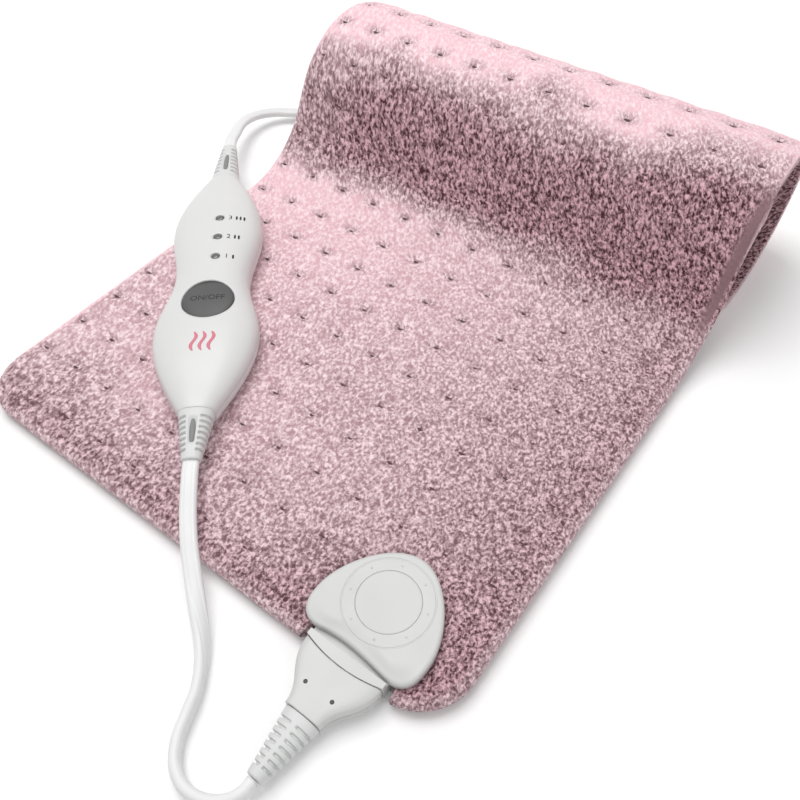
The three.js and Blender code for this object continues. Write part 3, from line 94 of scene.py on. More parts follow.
# The controller in its own frame: the parting plane is level and its length runs along Y
CASE_PLACE, CASE_TURN = np.array([-96.4, 22.4, 21.0]), math.radians(40.4)
CASE_ENDS, CASE_WALL = (-101.0, 90.0), 1.7
LOW_LOBE, WAIST, TOP_LOBE = (-47.0, 28.4), (-5.2, 21.1), (36.7, 26.4)  # place along the case, half width
NOSE_HALF, NOSE_RISE, CROWN_RISE, BASE_DEPTH = 9.5, 7.2, 12.5, 9.7
CROWN_POWER, BASE_POWER = 2.4, 4.0
PARTING = 0.15  # half the gap between the shells
BUTTON_X, BUTTON_Y, BUTTON_RADIUS, BUTTON_RIM, BUTTON_CROWN = 1.5, -29.7, 14.2, 11.0, 13.1
FLANGE_RADIUS, FLANGE_UNDER, FLANGE_TOP = 15.4, 6.3, 7.3
LENS_X, LENS_RADIUS, LENS_FOOT, LENS_TOP, LENS_DOME = 3.0, 2.3, 2.0, 12.9, 0.6
LENS_PLACES = (5.0, 22.2, 39.4)
LENS_GAP, BUTTON_GAP = 0.3, 0.4
SCREW_PLACES, SCREW_HOLE = (-82.0, 70.0), 3.0

# Print on the controller: the level marks stand beside the lenses
WORDS_SIZE, NUMBER_SIZE = 5.2, 5.0
NUMBER_X, BAR_X, BAR_STEP, BAR_HALF, BAR_RISE = LENS_X + 6.2, LENS_X + 9.8, 2.2, 0.55, 1.7
WAVE_Y, WAVE_STEP, WAVE_HALF, WAVE_RISE, WAVE_SWING = -61.0, 4.6, 0.95, 6.5, 1.2
PRINT_LIFT, PRINT_FILM = 0.06, 0.05

# Strain reliefs: half width and half height at the root and the tip, length, and cuts
BOOT_ROOT, BOOT_TIP, CORD_TIP = (9.2, 6.9), (4.7, 3.5), (3.8, 4.8)
MAINS_BOOT, LEAD_BOOT, BOOT_GAP = 40.0, 28.0, 0.08
RIB_COUNT, RIB_CUT, SLOT_DEPTH = 7, 1.3, 1.4
# Size of the grey pieces painted in the boots' slots as their shade
SLOT_SHADE_HALF, SLOT_SHADE_RISE, SLOT_SHADE_SUNK = 1.5, 0.8, 1.1
CONNECTOR_BOOT, CONNECTOR_ROOT, CONNECTOR_GAP = 28.0, (8.6, 5.4), 0.3
PLUG_BOOT, PLUG_ROOT, PLUG_GAP, PLUG_RIBS = 24.0, (5.6, 6.0), 0.3, 5

# The plug, the hank and its tie
PLUG_PLACE = np.array([82.9, 277.0, 8.6])
PLUG_LENGTH, PLUG_NECK, PLUG_GROWTH = 32.0, (7.0, 6.4), (5.5, 1.1)
HANK_PLACE, HANK_RUN, HANK_OUTER, HANK_STEP = (-45.0, 314.9), 95.0, 38.2, 7.9
HANK_BED, HANK_LAYER, HANK_WAIST, HANK_CLIMB = 5.8, 8.6, 10.0, 0.34
TIE_HALF, TIE_THICK, TIE_CORNER = 6.0, 0.6, 4.6

# The stage, in metres: the camera's axes and place, and each lamp's place and size
CAMERA_RIGHT, CAMERA_UP = (0.80079, 0.59857, -0.02114), (-0.45640, 0.63268, 0.62563)
CAMERA_BACK, CAMERA_PLACE = (0.38786, -0.49135, 0.77984), (0.20024, -0.18270, 0.33164)
LAMP_AIM = (0, 0.08, 0.03)
KEY_PLACE, KEY_SIZE = (-0.4, 0.2, 1.45), 1.0
FILL_PLACE, FILL_SIZE, FILL_SHARE = (1.1, -0.35, 1.1), 1.4, 0.22
FLOOR_HALF, FLOOR_Z = 4.0, -0.0004

PAD_LEAD_ROUTE = np.array([
    [-12.4, -76.3, 21], [-6.7, -83, 20.3], [3.8, -94.6, 18], [15, -105.4, 15.8], [27, -115.4, 12.6],
    [38.5, -124.6, 9.2], [48, -132.4, 6.2], [55.5, -140.2, 5], [61.5, -149, 4.6], [65.6, -158.4, 4.6],
    [69.6, -167.2, 4.6], [76, -174.4, 4.6], [85, -177.8, 5], [94.4, -176.4, 5.8], [101.4, -171.6, 6.6],
    [104.6, -166.2, 7], [105, -160.4, 7],
])
MAINS_ROUTE = np.array([
    [-181, 121.9, 21], [-186.6, 128.4, 20.5], [-194, 140, 18.6], [-201.6, 152, 16], [-206.4, 165, 12.8],
    [-206.6, 178.4, 9.6], [-201, 190, 7.2], [-191.4, 198.6, 5.8], [-181.6, 207, 5.4], [-174.4, 217.6, 5.4],
    [-169.6, 229.8, 5.5], [-164.4, 243, 5.8], [-156, 256.6, 5.8], [-144.4, 266.6, 5.8], [-131, 273.2, 5.8],
    [-118, 276.2, 5.8], [-108, 276.7, 5.8], [-100.8, 276.7, 5.8],
])
TAIL_ROUTE = np.array([
    [10.8, 274.7, 14.4], [17, 274.7, 14.2], [27, 274.9, 12.8], [37, 275.8, 10.5], [46, 276.8, 9],
    [53, 277, 8.6], [58, 277, 8.6],
])


def linear(code):
    """Linear red, green and blue of an sRGB hex colour."""
    value = np.array([int(code[at:at + 2], 16) for at in (1, 3, 5)]) / 255
    return tuple(np.where(value <= 0.04045, value / 12.92, ((value + 0.055) / 1.055) ** 2.4).tolist())


def colour(name, description, code):
    """A colour setting whose default is a hex value."""
    return FloatVectorProperty(name=name, description=description, subtype="COLOR", min=0, max=1,
                               default=linear(code))


def length(name, description, millimetres):
    """A length setting whose default is in millimetres."""
    return FloatProperty(name=name, description=description, unit="LENGTH", subtype="DISTANCE",
                         default=millimetres / 1000)


class PadSettings(bpy.types.PropertyGroup):
    """Sizes and colours of the plush pad."""

    tuft_pitch: length("Tuft pitch", "Distance between neighbouring tufts", 25.4)
    tuft_depth: length("Tuft depth", "How far a tuft draws the plush in", 2.6)
    crown: length("Crown", "How far the plush stands up between tufts", 0.5)
    pile_clump: length("Pile clump", "Width of one clump of pile", 2.1)
    # Pale and dull tips are a painted highlight on the clumps, and soft and deep gaps are painted shade
    # between them; the dull tips and deep gaps also stand for painted shade where the nap is high
    pale: colour("Pale tips", "Tips of pile that lies flat", "#fde5ea")
    dull: colour("Dull tips", "Tips of pile that stands up", "#e2b4bd")
    soft: colour("Soft shade", "Gaps in pile that lies flat", "#f2c5cd")
    deep: colour("Deep shade", "Gaps in pile that stands up", "#3c1820")
    # The edge colour's darker mauve is partly the sewn edge's own colour and partly painted shade
    edge: colour("Edge", "Smooth sewn edge at the end of the roll", "#8f7177")
    thread: colour("Thread", "Tuft thread", "#5d4048")


class CordSettings(bpy.types.PropertyGroup):
    """Sizes and colour of the flat cord."""

    width: length("Width", "Width of the flat cord", 8)
    thickness: length("Thickness", "Thickness of the flat cord", 5.2)
    groove: length("Groove", "Depth of the grooves between its cores", 0.7)
    lead_length: length("Pad lead", "Length from the controller to the connector", 180)
    mains_length: length("Mains lead", "Length from the controller to the plug", 1950)
    vinyl: colour("Vinyl", "Cord jacket", "#f1f1f1")


class CaseSettings(bpy.types.PropertyGroup):
    """Colours of the moulded pieces and the print on them."""

    shell: colour("Shell", "Moulded white plastic of the case", "#dfdfde")
    clamp: colour("Clamp", "Moulded white plastic of the socket and the connector", "#d2d2d1")
    button: colour("Button", "Moulded grey plastic", "#4b4b4b")
    relief: colour("Relief", "Soft vinyl of the strain reliefs", "#dcdddc")
    lens: colour("Lens", "Smoked indicator lens", "#5f5f5e")
    ink: colour("Ink", "Dark print", "#1b1b1c")
    heat: colour("Heat mark", "Pink print", "#ea8798")


class StageSettings(bpy.types.PropertyGroup):
    """Camera, floor and light."""

    lens: FloatProperty(name="Lens", description="Focal length on a 36 mm sensor", unit="CAMERA",
                        default=35.46)
    ambient: FloatProperty(name="Ambient", description="Strength of the light from all round", default=0.45)
    key: FloatProperty(name="Key", description="Power of the large lamp above", unit="POWER", default=14.2)
    floor: colour("Floor", "Pale floor", "#fefefe")


SETTINGS = {"pad_look": PadSettings, "cord_look": CordSettings, "case_look": CaseSettings,
            "stage_look": StageSettings}


# Numpy surfaces

def quads(rows, columns, round_rows=False, round_columns=False):
    """Corner numbers of every cell in a grid of points, which closes on itself where asked."""
    row = np.arange(rows if round_rows else rows - 1)[:, None]
    column = np.arange(columns if round_columns else columns - 1)[None, :]
    next_row, next_column = (row + 1) % rows, (column + 1) % columns
    corners = [row * columns + column, row * columns + next_column,
               next_row * columns + next_column, next_row * columns + column]
    return np.stack([np.broadcast_to(c, (row.size, column.size)) for c in corners], -1).reshape(-1, 4)


def make_piece(name, points, faces, material, body="pad", closed=True):
    """Puts points in millimetres and faces into a smooth mesh at the origin, welds its poles and seams,
    turns a closed form's faces out, and lets it ride on a body."""
    mesh = bpy.data.meshes.new(name)
    mesh.from_pydata((points.reshape(-1, 3) / 1000).tolist(), [], faces.tolist())
    made = bmesh.new()
    made.from_mesh(mesh)
    bmesh.ops.remove_doubles(made, verts=made.verts, dist=1e-6)
    if closed:
        bmesh.ops.recalc_face_normals(made, faces=made.faces)
    made.to_mesh(mesh)
    made.free()
    mesh.polygons.foreach_set("use_smooth", np.ones(len(mesh.polygons), bool))
    mesh.materials.append(material)
    obj = bpy.data.objects.new(name, mesh)
    bpy.context.scene.collection.objects.link(obj)
    if body:
        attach(obj, body)
    return obj


def drop_loose(obj):
    """Takes out vertices that no face uses."""
    made = bmesh.new()
    made.from_mesh(obj.data)
    loose = [vertex for vertex in made.verts if not vertex.link_faces]
    bmesh.ops.delete(made, geom=loose, context="VERTS")
    made.to_mesh(obj.data)
    made.free()


def set_values(obj, points, values):
    """Writes named values on each vertex, found again after the weld by its place."""
    mesh = obj.data
    co = np.zeros(len(mesh.vertices) * 3, np.float32)
    mesh.vertices.foreach_get("co", co)
    key = lambda place: np.round(place * 1e6).astype(np.int64) @ np.array([1, 1 << 21, 1 << 42])
    known, first = np.unique(key((points.reshape(-1, 3) / 1000).astype(np.float32)), return_index=True)
    at = np.clip(np.searchsorted(known, key(co.reshape(-1, 3))), 0, len(known) - 1)
    for name, value in values.items():
        kind, field = ("FLOAT_VECTOR", "vector") if value.ndim > 2 else ("FLOAT", "value")
        value = value.reshape(points.shape[0] * points.shape[1], -1)[first[at]]
        mesh.attributes.new(name, kind, "POINT").data.foreach_set(field, value.astype(np.float32).ravel())


def solidified(obj, thickness):
    """Gives an open skin a wall on its inner side, in millimetres."""
    wall = obj.modifiers.new("wall", "SOLIDIFY")
    wall.thickness, wall.offset = thickness / 1000, -1
    return obj


def ring_piece(name, rings, material, body="pad"):
    """A piece from rings of points, each closed on itself."""
    return make_piece(name, rings, quads(*rings.shape[:2], round_columns=True), material, body)


def tube_piece(name, rings, material, body="pad"):
    """A closed piece from rings along its length, with both ends drawn to their middles."""
    ends = [np.repeat(ring.mean(0, keepdims=True), len(ring), 0)[None] for ring in (rings[0], rings[-1])]
    return ring_piece(name, np.concatenate([ends[0], rings, ends[1]]), material, body)


def like_cells(shapes, **closing):
    """Corner numbers of the cells of many like grids of points, which follow one another."""
    count, rows, columns = shapes.shape[:3]
    first = np.arange(count)[:, None, None] * rows * columns
    return (first + quads(rows, columns, **closing)[None]).reshape(-1, 4)


def looped(upper, lower):
    """Two faces of a sheet as one loop for each row: across the upper one and back along the lower one."""
    return np.concatenate([upper, lower[:, -2:0:-1]], 1)


def eased(share):
    """Smooth step: three squares less two cubes, held between nought and one."""
    share = np.clip(share, 0, 1)
    return share * share * (3 - 2 * share)


def bell(away, width):
    """Bell curve: e to the minus square of the distance in widths."""
    return np.exp(-(away / width) ** 2)


def round_angles(count):
    """Angles at equal steps round a full turn."""
    return np.linspace(0, 2 * np.pi, count, endpoint=False)


def bezier(points, count):
    """Places on a cubic Bezier curve at equal steps of its parameter."""
    t = np.linspace(0, 1, count)[:, None]
    a, b, c, d = np.array(points, float)
    return a * (1 - t) ** 3 + 3 * b * t * (1 - t) ** 2 + 3 * c * t * t * (1 - t) + d * t ** 3


def superellipse(angle, power):
    """Cosine and sine raised to two over the power, signs kept: a section from round to square."""
    wide, tall = np.cos(angle), np.sin(angle)
    return (np.sign(wide) * np.abs(wide) ** (2 / power), np.sign(tall) * np.abs(tall) ** (2 / power))


def resampled(path, count):
    """A path at equal steps of its own length."""
    run = np.concatenate([[0], np.cumsum(np.linalg.norm(np.diff(path, axis=0), axis=1))])
    at = np.linspace(0, run[-1], count)
    return np.stack([np.interp(at, run, path[:, axis]) for axis in range(3)], 1)


def smooth_path(points, count):
    """A Catmull-Rom curve through the points, whose knots are apart by the root of the distance, at equal
    steps."""
    whole = np.concatenate([[2 * points[0] - points[1]], points, [2 * points[-1] - points[-2]]])
    knot = np.linalg.norm(np.diff(whole, axis=0), axis=1)[:, None] ** 0.5
    before, here, after = knot[:-2], knot[1:-1], knot[2:]
    p0, p1, p2, p3 = whole[:-3], whole[1:-2], whole[2:-1], whole[3:]
    leave = ((p1 - p0) / before - (p2 - p0) / (before + here) + (p2 - p1) / here) * here
    reach = ((p2 - p1) / here - (p3 - p1) / (here + after) + (p3 - p2) / after) * here
    t = np.linspace(0, 1, 24, endpoint=False)[None, :, None]
    curve = (p1[:, None] * (2 * t ** 3 - 3 * t ** 2 + 1) + leave[:, None] * (t ** 3 - 2 * t ** 2 + t)
             + p2[:, None] * (3 * t ** 2 - 2 * t ** 3) + reach[:, None] * (t ** 3 - t ** 2))
    return resampled(np.concatenate([curve.reshape(-1, 3), points[-1:]]), count)


def carried(path, section, turn):
    """A section carried along a path: at each step its width lies level and its thickness stands over it,
    both turned about the path by an angle."""
    along = np.gradient(path, axis=0)
    along /= np.linalg.norm(along, axis=1, keepdims=True)
    level = np.stack([along[:, 1], -along[:, 0], np.zeros(len(path))], 1)
    level /= np.linalg.norm(level, axis=1, keepdims=True)
    over = np.cross(level, along)
    turn = turn[:, None]
    wide = level * np.cos(turn) + over * np.sin(turn)
    thin = over * np.cos(turn) - level * np.sin(turn)
    return (path[:, None] + section[None, :, :1] * wide[:, None] + section[None, :, 1:] * thin[:, None])


def turned(profile, sides, centre, base=0.0):
    """A profile of radius and height over a base, turned about an upright axis."""
    angle = round_angles(sides)
    radius, height = np.array(profile, float).T[:, :, None]
    return np.stack([centre[0] + radius * np.cos(angle), centre[1] + radius * np.sin(angle),
                     base + height + 0 * angle], -1)


def in_case(points):
    """Turns and moves points from the controller's own frame to its place on the pad."""
    cos, sin = math.cos(CASE_TURN), math.sin(CASE_TURN)
    spin = np.array([[cos, sin, 0], [-sin, cos, 0], [0, 0, 1]])
    return points @ spin + CASE_PLACE


def drilled(x, y, holes, reach):
    """Draws grid places near a round hole's rim onto that rim, and tells which places fall inside it and
    which lie on the rim."""
    inside, rim = np.zeros(x.shape, bool), np.zeros(x.shape, bool)
    for across, along, radius in holes:
        dx, dy = x - across, y - along
        far = np.maximum(np.hypot(dx, dy), 1e-9)
        near = np.abs(far - radius) < reach
        rim |= near
        inside |= (far < radius) & ~near
        pull = np.where(near, radius / far, 1)
        x, y = across + dx * pull, along + dy * pull
    return x, y, inside, rim


# Materials

def node(tree, kind, inputs=None, **settings):
    """Adds a node with its settings, and fills or links its sockets."""
    made = tree.nodes.new(kind)
    for name, value in settings.items():
        setattr(made, name, value)
    for socket, value in (inputs or {}).items():
        if isinstance(value, bpy.types.NodeSocket):
            tree.links.new(value, made.inputs[socket])
        else:
            made.inputs[socket].default_value = value
    return made


def started(name):
    """An empty material and its tree, with the object's own coordinates in metres."""
    material = bpy.data.materials.new(name)
    material.use_nodes = True
    tree = material.node_tree
    tree.nodes.clear()
    return material, tree, node(tree, "ShaderNodeTexCoord").outputs["Object"]


def finished(tree, sockets):
    """Ends a tree in a Principled shader with the given sockets."""
    shader = node(tree, "ShaderNodeBsdfPrincipled", sockets)
    node(tree, "ShaderNodeOutputMaterial", {"Surface": shader.outputs[0]})


def rgba(value):
    """A colour setting with full alpha."""
    return (*value, 1.0)


def darker(value, share):
    """A colour with a share of its light taken away."""
    return tuple(part * (1 - share) for part in value)


def moulded(name, base, roughness, grain, depth, mottle, **sockets):
    """A moulded plastic, made once: a spark-eroded grain of the given width and depth in millimetres, drawn
    coarser than a real one so that it shows, a roughness that wanders over the width of the flow, and a faint
    mottling of its colour from the flow of the melt."""
    if name in bpy.data.materials:
        return bpy.data.materials[name]
    flow_width = 28
    material, tree, place = started(name)
    flow = node(tree, "ShaderNodeTexNoise", {"Vector": place, "Scale": 1000 / flow_width, "Detail": 3.0})
    shade = node(tree, "ShaderNodeMix", {0: flow.outputs[0], 6: rgba(base), 7: rgba(darker(base, mottle))},
                 data_type="RGBA")
    dull = node(tree, "ShaderNodeMapRange", {0: flow.outputs[0], 1: 0.3, 2: 0.7, 3: roughness - 0.05,
                                             4: roughness + 0.07})
    fine = node(tree, "ShaderNodeTexNoise", {"Vector": place, "Scale": 1000 / grain, "Detail": 2.0})
    bump = node(tree, "ShaderNodeBump", {"Strength": 0.5, "Distance": depth / 1000,
                                         "Height": fine.outputs[0]})
    finished(tree, {"Base Color": shade.outputs[2], "Roughness": dull.outputs[0], "Normal": bump.outputs[0],
                    **sockets})
    return material


def plush_material(look):
    """Brushed polyester plush: worm-like clumps of pile, with a painted highlight on their tips and painted
    shade in the gaps between. Single fibres are too fine to show, so the clumps are drawn coarser than real
    ones. The pile attribute places the clumps along the sheet. The attribute that gives the nap says where
    the pile stands up and shows deep gaps, and where it lies flat, and it carries painted shade: where it is
    high, gaps and tips are painted darker. The edge attribute marks the smooth sewn edge at the end of the
    roll, whose darker mauve is partly painted shade."""
    material, tree, _ = started("brushed polyester plush")
    place = node(tree, "ShaderNodeAttribute", attribute_name="pile").outputs["Vector"]
    nap_and_shade, edge = [node(tree, "ShaderNodeAttribute", attribute_name=name).outputs["Fac"]
                 for name in ("nap_and_shade", "edge")]
    # The clump pattern paints light and shade: a painted highlight on the tips and painted shade in the gaps
    clump = node(tree, "ShaderNodeTexNoise", {"Vector": place, "Scale": 1 / look.pile_clump, "Detail": 1.5,
                                              "Roughness": 0.6, "Distortion": 0.4})
    lit = node(tree, "ShaderNodeMapRange", {0: clump.outputs[0], 1: 0.33, 2: 0.67}).outputs[0]
    # The gaps and the tips are painted darker where the nap is high, partly for pile that stands up and
    # partly as painted shade
    lit, gap_shade, tip_shade = [node(tree, "ShaderNodeMath", {0: value, 1: power}, operation="POWER").outputs[0]
                       for value, power in ((lit, 1.35), (nap_and_shade, 0.48), (nap_and_shade, 2.2))]
    gaps, tips = [node(tree, "ShaderNodeMix", {0: share, 6: rgba(flat), 7: rgba(raised)},
                       data_type="RGBA").outputs[2]
                  for share, flat, raised in ((gap_shade, look.soft, look.deep), (tip_shade, look.pale, look.dull))]
    shade = node(tree, "ShaderNodeMix", {0: lit, 6: gaps, 7: tips}, data_type="RGBA").outputs[2]
    # Mixes in the sewn edge's darker mauve, which is partly painted shade
    shade = node(tree, "ShaderNodeMix", {0: edge, 6: shade, 7: rgba(look.edge)}, data_type="RGBA").outputs[2]
    bump = node(tree, "ShaderNodeBump", {"Strength": 0.45, "Distance": 0.0008, "Height": lit})
    finished(tree, {"Base Color": shade, "Roughness": 0.92, "Normal": bump.outputs[0], "Sheen Weight": 0.12,
                    "Sheen Roughness": 0.45, "Sheen Tint": rgba(linear("#ffe9ee")),
                    "Specular IOR Level": 0.2})
    return material


def metal_material(name, base, roughness, line, drawn):
    """A metal with lines from drawing or rolling, spaced in millimetres and squeezed along one axis. They are
    drawn coarser than real ones so that they show."""
    material, tree, place = started(name)
    squeezed = node(tree, "ShaderNodeMapping", {"Vector": place, "Scale": drawn})
    lines = node(tree, "ShaderNodeTexNoise", {"Vector": squeezed.outputs[0], "Scale": 1000 / line,
                                              "Detail": 2.0})
    shade = node(tree, "ShaderNodeMix", {0: lines.outputs[0], 6: rgba(base), 7: rgba(darker(base, 0.25))},
                 data_type="RGBA")
    dull = node(tree, "ShaderNodeMapRange", {0: lines.outputs[0], 1: 0.3, 2: 0.7, 3: roughness - 0.08,
                                             4: roughness + 0.1})
    finished(tree, {"Base Color": shade.outputs[2], "Metallic": 1.0, "Roughness": dull.outputs[0]})
    return material


def felt_material():
    """Needled wool-white felt: short fibres in all directions, matt, with soft pits from the needles. The
    fibres are drawn coarser than real ones so that they show."""
    material, tree, place = started("needled felt")
    fibre = node(tree, "ShaderNodeTexNoise", {"Vector": place, "Scale": 1000 / 1.2, "Detail": 4.0,
                                              "Distortion": 1.5})
    shade = node(tree, "ShaderNodeMix", {0: fibre.outputs[0], 6: rgba(linear("#f1ece4")),
                                         7: rgba(linear("#cfc7bb"))}, data_type="RGBA")
    bump = node(tree, "ShaderNodeBump", {"Strength": 0.4, "Distance": 0.0004, "Height": fibre.outputs[0]})
    finished(tree, {"Base Color": shade.outputs[2], "Roughness": 0.95, "Normal": bump.outputs[0],
                    "Sheen Weight": 0.15})
    return material


def board_material():
    """Glass-fibre laminate under green mask: a plain weave at 0.5 mm that only just shows through, as the
    product of a sine along the threads each way."""
    thread = 0.0005
    material, tree, place = started("glass-fibre laminate")
    turn = node(tree, "ShaderNodeMapping", {"Vector": place, "Rotation": (0, 0, -CASE_TURN)})
    axes = node(tree, "ShaderNodeSeparateXYZ", {0: turn.outputs[0]})
    runs = [node(tree, "ShaderNodeMath", {0: axes.outputs[axis], 1: 2 * math.pi / thread},
                 operation="MULTIPLY") for axis in (0, 1)]
    warp, weft = [node(tree, "ShaderNodeMath", {0: run.outputs[0]}, operation="SINE") for run in runs]
    cross = node(tree, "ShaderNodeMath", {0: warp.outputs[0], 1: weft.outputs[0]}, operation="MULTIPLY")
    weave = node(tree, "ShaderNodeMapRange", {0: cross.outputs[0], 1: -1.0, 2: 1.0})
    shade = node(tree, "ShaderNodeMix", {0: weave.outputs[0], 6: rgba(linear("#1f6b3f")),
                                         7: rgba(linear("#2a7d4c"))}, data_type="RGBA")
    finished(tree, {"Base Color": shade.outputs[2], "Roughness": 0.35})
    return material


def shell_material():
    """ABS, injection moulded and lightly polished: white, satin, with a soft skin."""
    base = bpy.context.scene.case_look.shell
    return moulded("moulded ABS white", base, roughness=0.36, grain=0.5, depth=0.02, mottle=0.05, IOR=1.53)


def clamp_material():
    """Polypropylene, injection moulded: a white that is a little greyer and duller than the shell's."""
    base = bpy.context.scene.case_look.clamp
    return moulded("moulded polypropylene white", base, roughness=0.4, grain=0.5, depth=0.02, mottle=0.05,
                   IOR=1.49)


def button_material():
    """ABS with a spark-eroded texture: dark grey and duller than the shell."""
    base = bpy.context.scene.case_look.button
    return moulded("moulded ABS grey", base, roughness=0.5, grain=0.45, depth=0.04, mottle=0.14, IOR=1.53)


def lens_material():
    """Acrylic, moulded and smoked: dark grey and glossy, with a clear skin."""
    base = bpy.context.scene.case_look.lens
    return moulded("smoked acrylic", base, roughness=0.18, grain=0.8, depth=0.01, mottle=0.25, IOR=1.49,
                   **{"Coat Weight": 0.4})


def relief_material():
    """Soft PVC moulded over the cord: pale grey, satin, faintly cloudy."""
    base = bpy.context.scene.case_look.relief
    return moulded("overmoulded soft PVC", base, roughness=0.46, grain=0.7, depth=0.03, mottle=0.08, IOR=1.52)


def slot_shade_material():
    """Mid grey and matt: painted shade, standing for the shade inside the boots' slots."""
    base = linear("#868786")
    return moulded("painted slot shade", base, roughness=0.6, grain=0.7, depth=0.03, mottle=0.12, IOR=1.52)


def cord_material():
    """Extruded PVC jacket: white, satin, with a slightly uneven skin."""
    base = bpy.context.scene.cord_look.vinyl
    return moulded("extruded PVC jacket", base, roughness=0.42, grain=1.1, depth=0.05, mottle=0.08, IOR=1.53)


def thread_material():
    """Spun polyester thread: dull, with strands that show as a coarse unevenness."""
    base = bpy.context.scene.pad_look.thread
    return moulded("tuft thread", base, roughness=0.7, grain=0.6, depth=0.15, mottle=0.35)


def black_material():
    """Black nylon and moulded epoxy: dark, half matt."""
    base = linear("#232427")
    return moulded("black nylon", base, roughness=0.48, grain=0.5, depth=0.04, mottle=0.3, IOR=1.53)


def ink_material(name, base):
    """Pad-printed ink: a thin dull film that is a little uneven."""
    return moulded(name, base, roughness=0.6, grain=0.35, depth=0.01, mottle=0.18, IOR=1.5)


# The pad

def sheet_place(x, v, off):
    """A place on the rolled sheet: the heading is straight between the ends of the bends, the mid-plane is
    the sum of its cosines and sines, and the place stands off it along its normal."""
    ends = np.concatenate([[0], np.cumsum(BEND_RUNS)])
    headings = np.concatenate([[0], np.cumsum(BEND_TURNS)])
    step = 0.1
    run = np.arange(0, PAD_LENGTH + step / 2, step)
    middle = np.interp(run[:-1] + step / 2, ends, headings)
    along_y = FRONT_Y + np.concatenate([[0], np.cumsum(np.cos(middle) * step)])
    along_z = PAD_HALF + np.concatenate([[0], np.cumsum(np.sin(middle) * step)])
    heading = np.interp(v, ends, headings)
    y = np.interp(v, run, along_y) - off * np.sin(heading)
    z = np.interp(v, run, along_z) + off * np.cos(heading)
    return np.stack(np.broadcast_arrays(x, y, z), -1)


def from_edge(x, v):
    """Distance inside the pad's rounded outline: the corner radius less the distance to the inner box."""
    qx = np.abs(x) - (PAD_WIDTH / 2 - PAD_CORNER)
    qv = np.abs(v - PAD_LENGTH / 2) - (PAD_LENGTH / 2 - PAD_CORNER)
    outside = np.hypot(np.maximum(qx, 0), np.maximum(qv, 0)) + np.minimum(np.maximum(qx, qv), 0)
    return np.maximum(PAD_CORNER - outside, 0)


def half_width(v):
    """Half the pad's width: straight sides and a quarter circle at each end."""
    end = np.clip(np.minimum(v, PAD_LENGTH - v), 0, PAD_CORNER)
    return PAD_WIDTH / 2 - PAD_CORNER + np.sqrt(np.maximum(PAD_CORNER ** 2 - (PAD_CORNER - end) ** 2, 0))


def plush_half(inside):
    """Half the pad's thickness at a distance from its edge: a quarter ellipse from the seam up."""
    flat = np.minimum(inside / EDGE_TAPER, 1)
    return SEAM_HALF + (PAD_HALF - SEAM_HALF) * np.sqrt(1 - (1 - flat) ** 2)


def socket_plan():
    """The socket plate's outline from the front edge: Bezier curves round a soft triangle with a waved
    front, as points that run left to right along the front and back round."""
    front, back, half, nose = SOCKET_FRONT, SOCKET_BACK, SOCKET_HALF, SOCKET_NOSE
    shoulder, bend = front + 14, 0.62 * back
    runs = [
        [(-nose, front + 1), (-nose / 4, front + 4), (nose / 2, front + 1), (nose, front)],
        [(nose, front), (half - 1, front - 1), (half, front + 7), (half, shoulder)],
        [(half, shoulder), (half, bend), (half / 2, back), (0, back)],
        [(0, back), (-half / 2, back), (-half, bend), (-half, shoulder)],
        [(-half, shoulder), (-half, front + 7), (1 - half, front), (-nose, front + 1)],
    ]
    return np.concatenate([bezier(run, 40)[:-1] for run in runs])


def plan_reach(angle):
    """Distance from the boss's centre to the socket's outline, by angle."""
    rim = socket_plan() - [0, BOSS_Y]
    turn = np.arctan2(rim[:, 1], rim[:, 0])
    order = np.argsort(turn)
    return np.interp(angle, turn[order], np.hypot(*rim[order].T), period=2 * np.pi)


def beyond_plate(x, v):
    """Distance outside the socket's outline, measured from the boss's centre."""
    dx, dv = x - SOCKET_X, v - BOSS_Y
    return np.hypot(dx, dv) - plan_reach(np.arctan2(dv, dx))


def edge_spaced(low, high, first, pitch):
    """Places from edge to edge: crowded at both edges, and on the tufts' grid between."""
    border, clear = np.array([0, 0.25, 0.7, 1.4, 2.4, 3.6, 5.0]), 6
    steps = np.arange(np.ceil((low + clear - first) / pitch), np.floor((high - clear - first) / pitch) + 1)
    return np.concatenate([low + border, first + steps * pitch, (high - border)[::-1]])


def wandering(x, v, size, seed):
    """Smooth seeded noise of about one: random heights on a grid of that size, eased between its corners."""
    rows, columns, shift = 64, 128, 400
    heights = np.random.default_rng(seed).uniform(-1, 1, (rows, columns))
    column, row = (x + shift) / size, (v + shift) / size
    i, j = np.floor(column).astype(int), np.floor(row).astype(int)
    a, b = eased(column - i), eased(row - j)
    at = lambda p, q: heights[p % rows, q % columns]
    return ((at(i, j) * (1 - a) + at(i + 1, j) * a) * (1 - b)
            + (at(i, j + 1) * (1 - a) + at(i + 1, j + 1) * a) * b)


def raised_pile_and_shade(x, v):
    """How far the pile stands up, from nought to one, which the plush also shows as painted shade: where it
    is high the plush is painted darker. It grows more and more towards the right edge up to the crest, along
    the front and round its right corner, a little across the flat, and up the roll's face. What each leaves
    flat is multiplied, and the borders wander."""
    reach = np.maximum(v + 14 * wandering(x, v, 42, 5) + 6 * wandering(x, v, 14, 6), 0)
    share = np.clip(x / PAD_WIDTH + 0.5, 0, 1)
    across = 0.83 * share ** 3.2 * (1 - eased((reach - ROLL_CREST + 1) / 38))
    front = 0.8 * bell(reach, 38) + 0.17 * bell(reach - 110, 60)
    corner = 0.75 * bell(np.hypot(x - 140, reach - 15), 48)
    crest = ROLL_CREST + 9 * bell(x + 25, 45) - 12 * eased((-70 - x) / 60)
    face = eased((reach - ROLL_FOOT) / 36) * (1 - eased((reach - crest) / 42))
    face = face * (0.95 - 0.28 * eased((-90 - x) / 60))
    return 1 - (1 - across) * (1 - front) * (1 - face) * (1 - corner)


def tuft_depth(look, x, v):
    """How far a tuft draws the plush in: less where the pile stands up round it."""
    return look.tuft_depth * 1000 * (1 - 0.6 * raised_pile_and_shade(x, v))


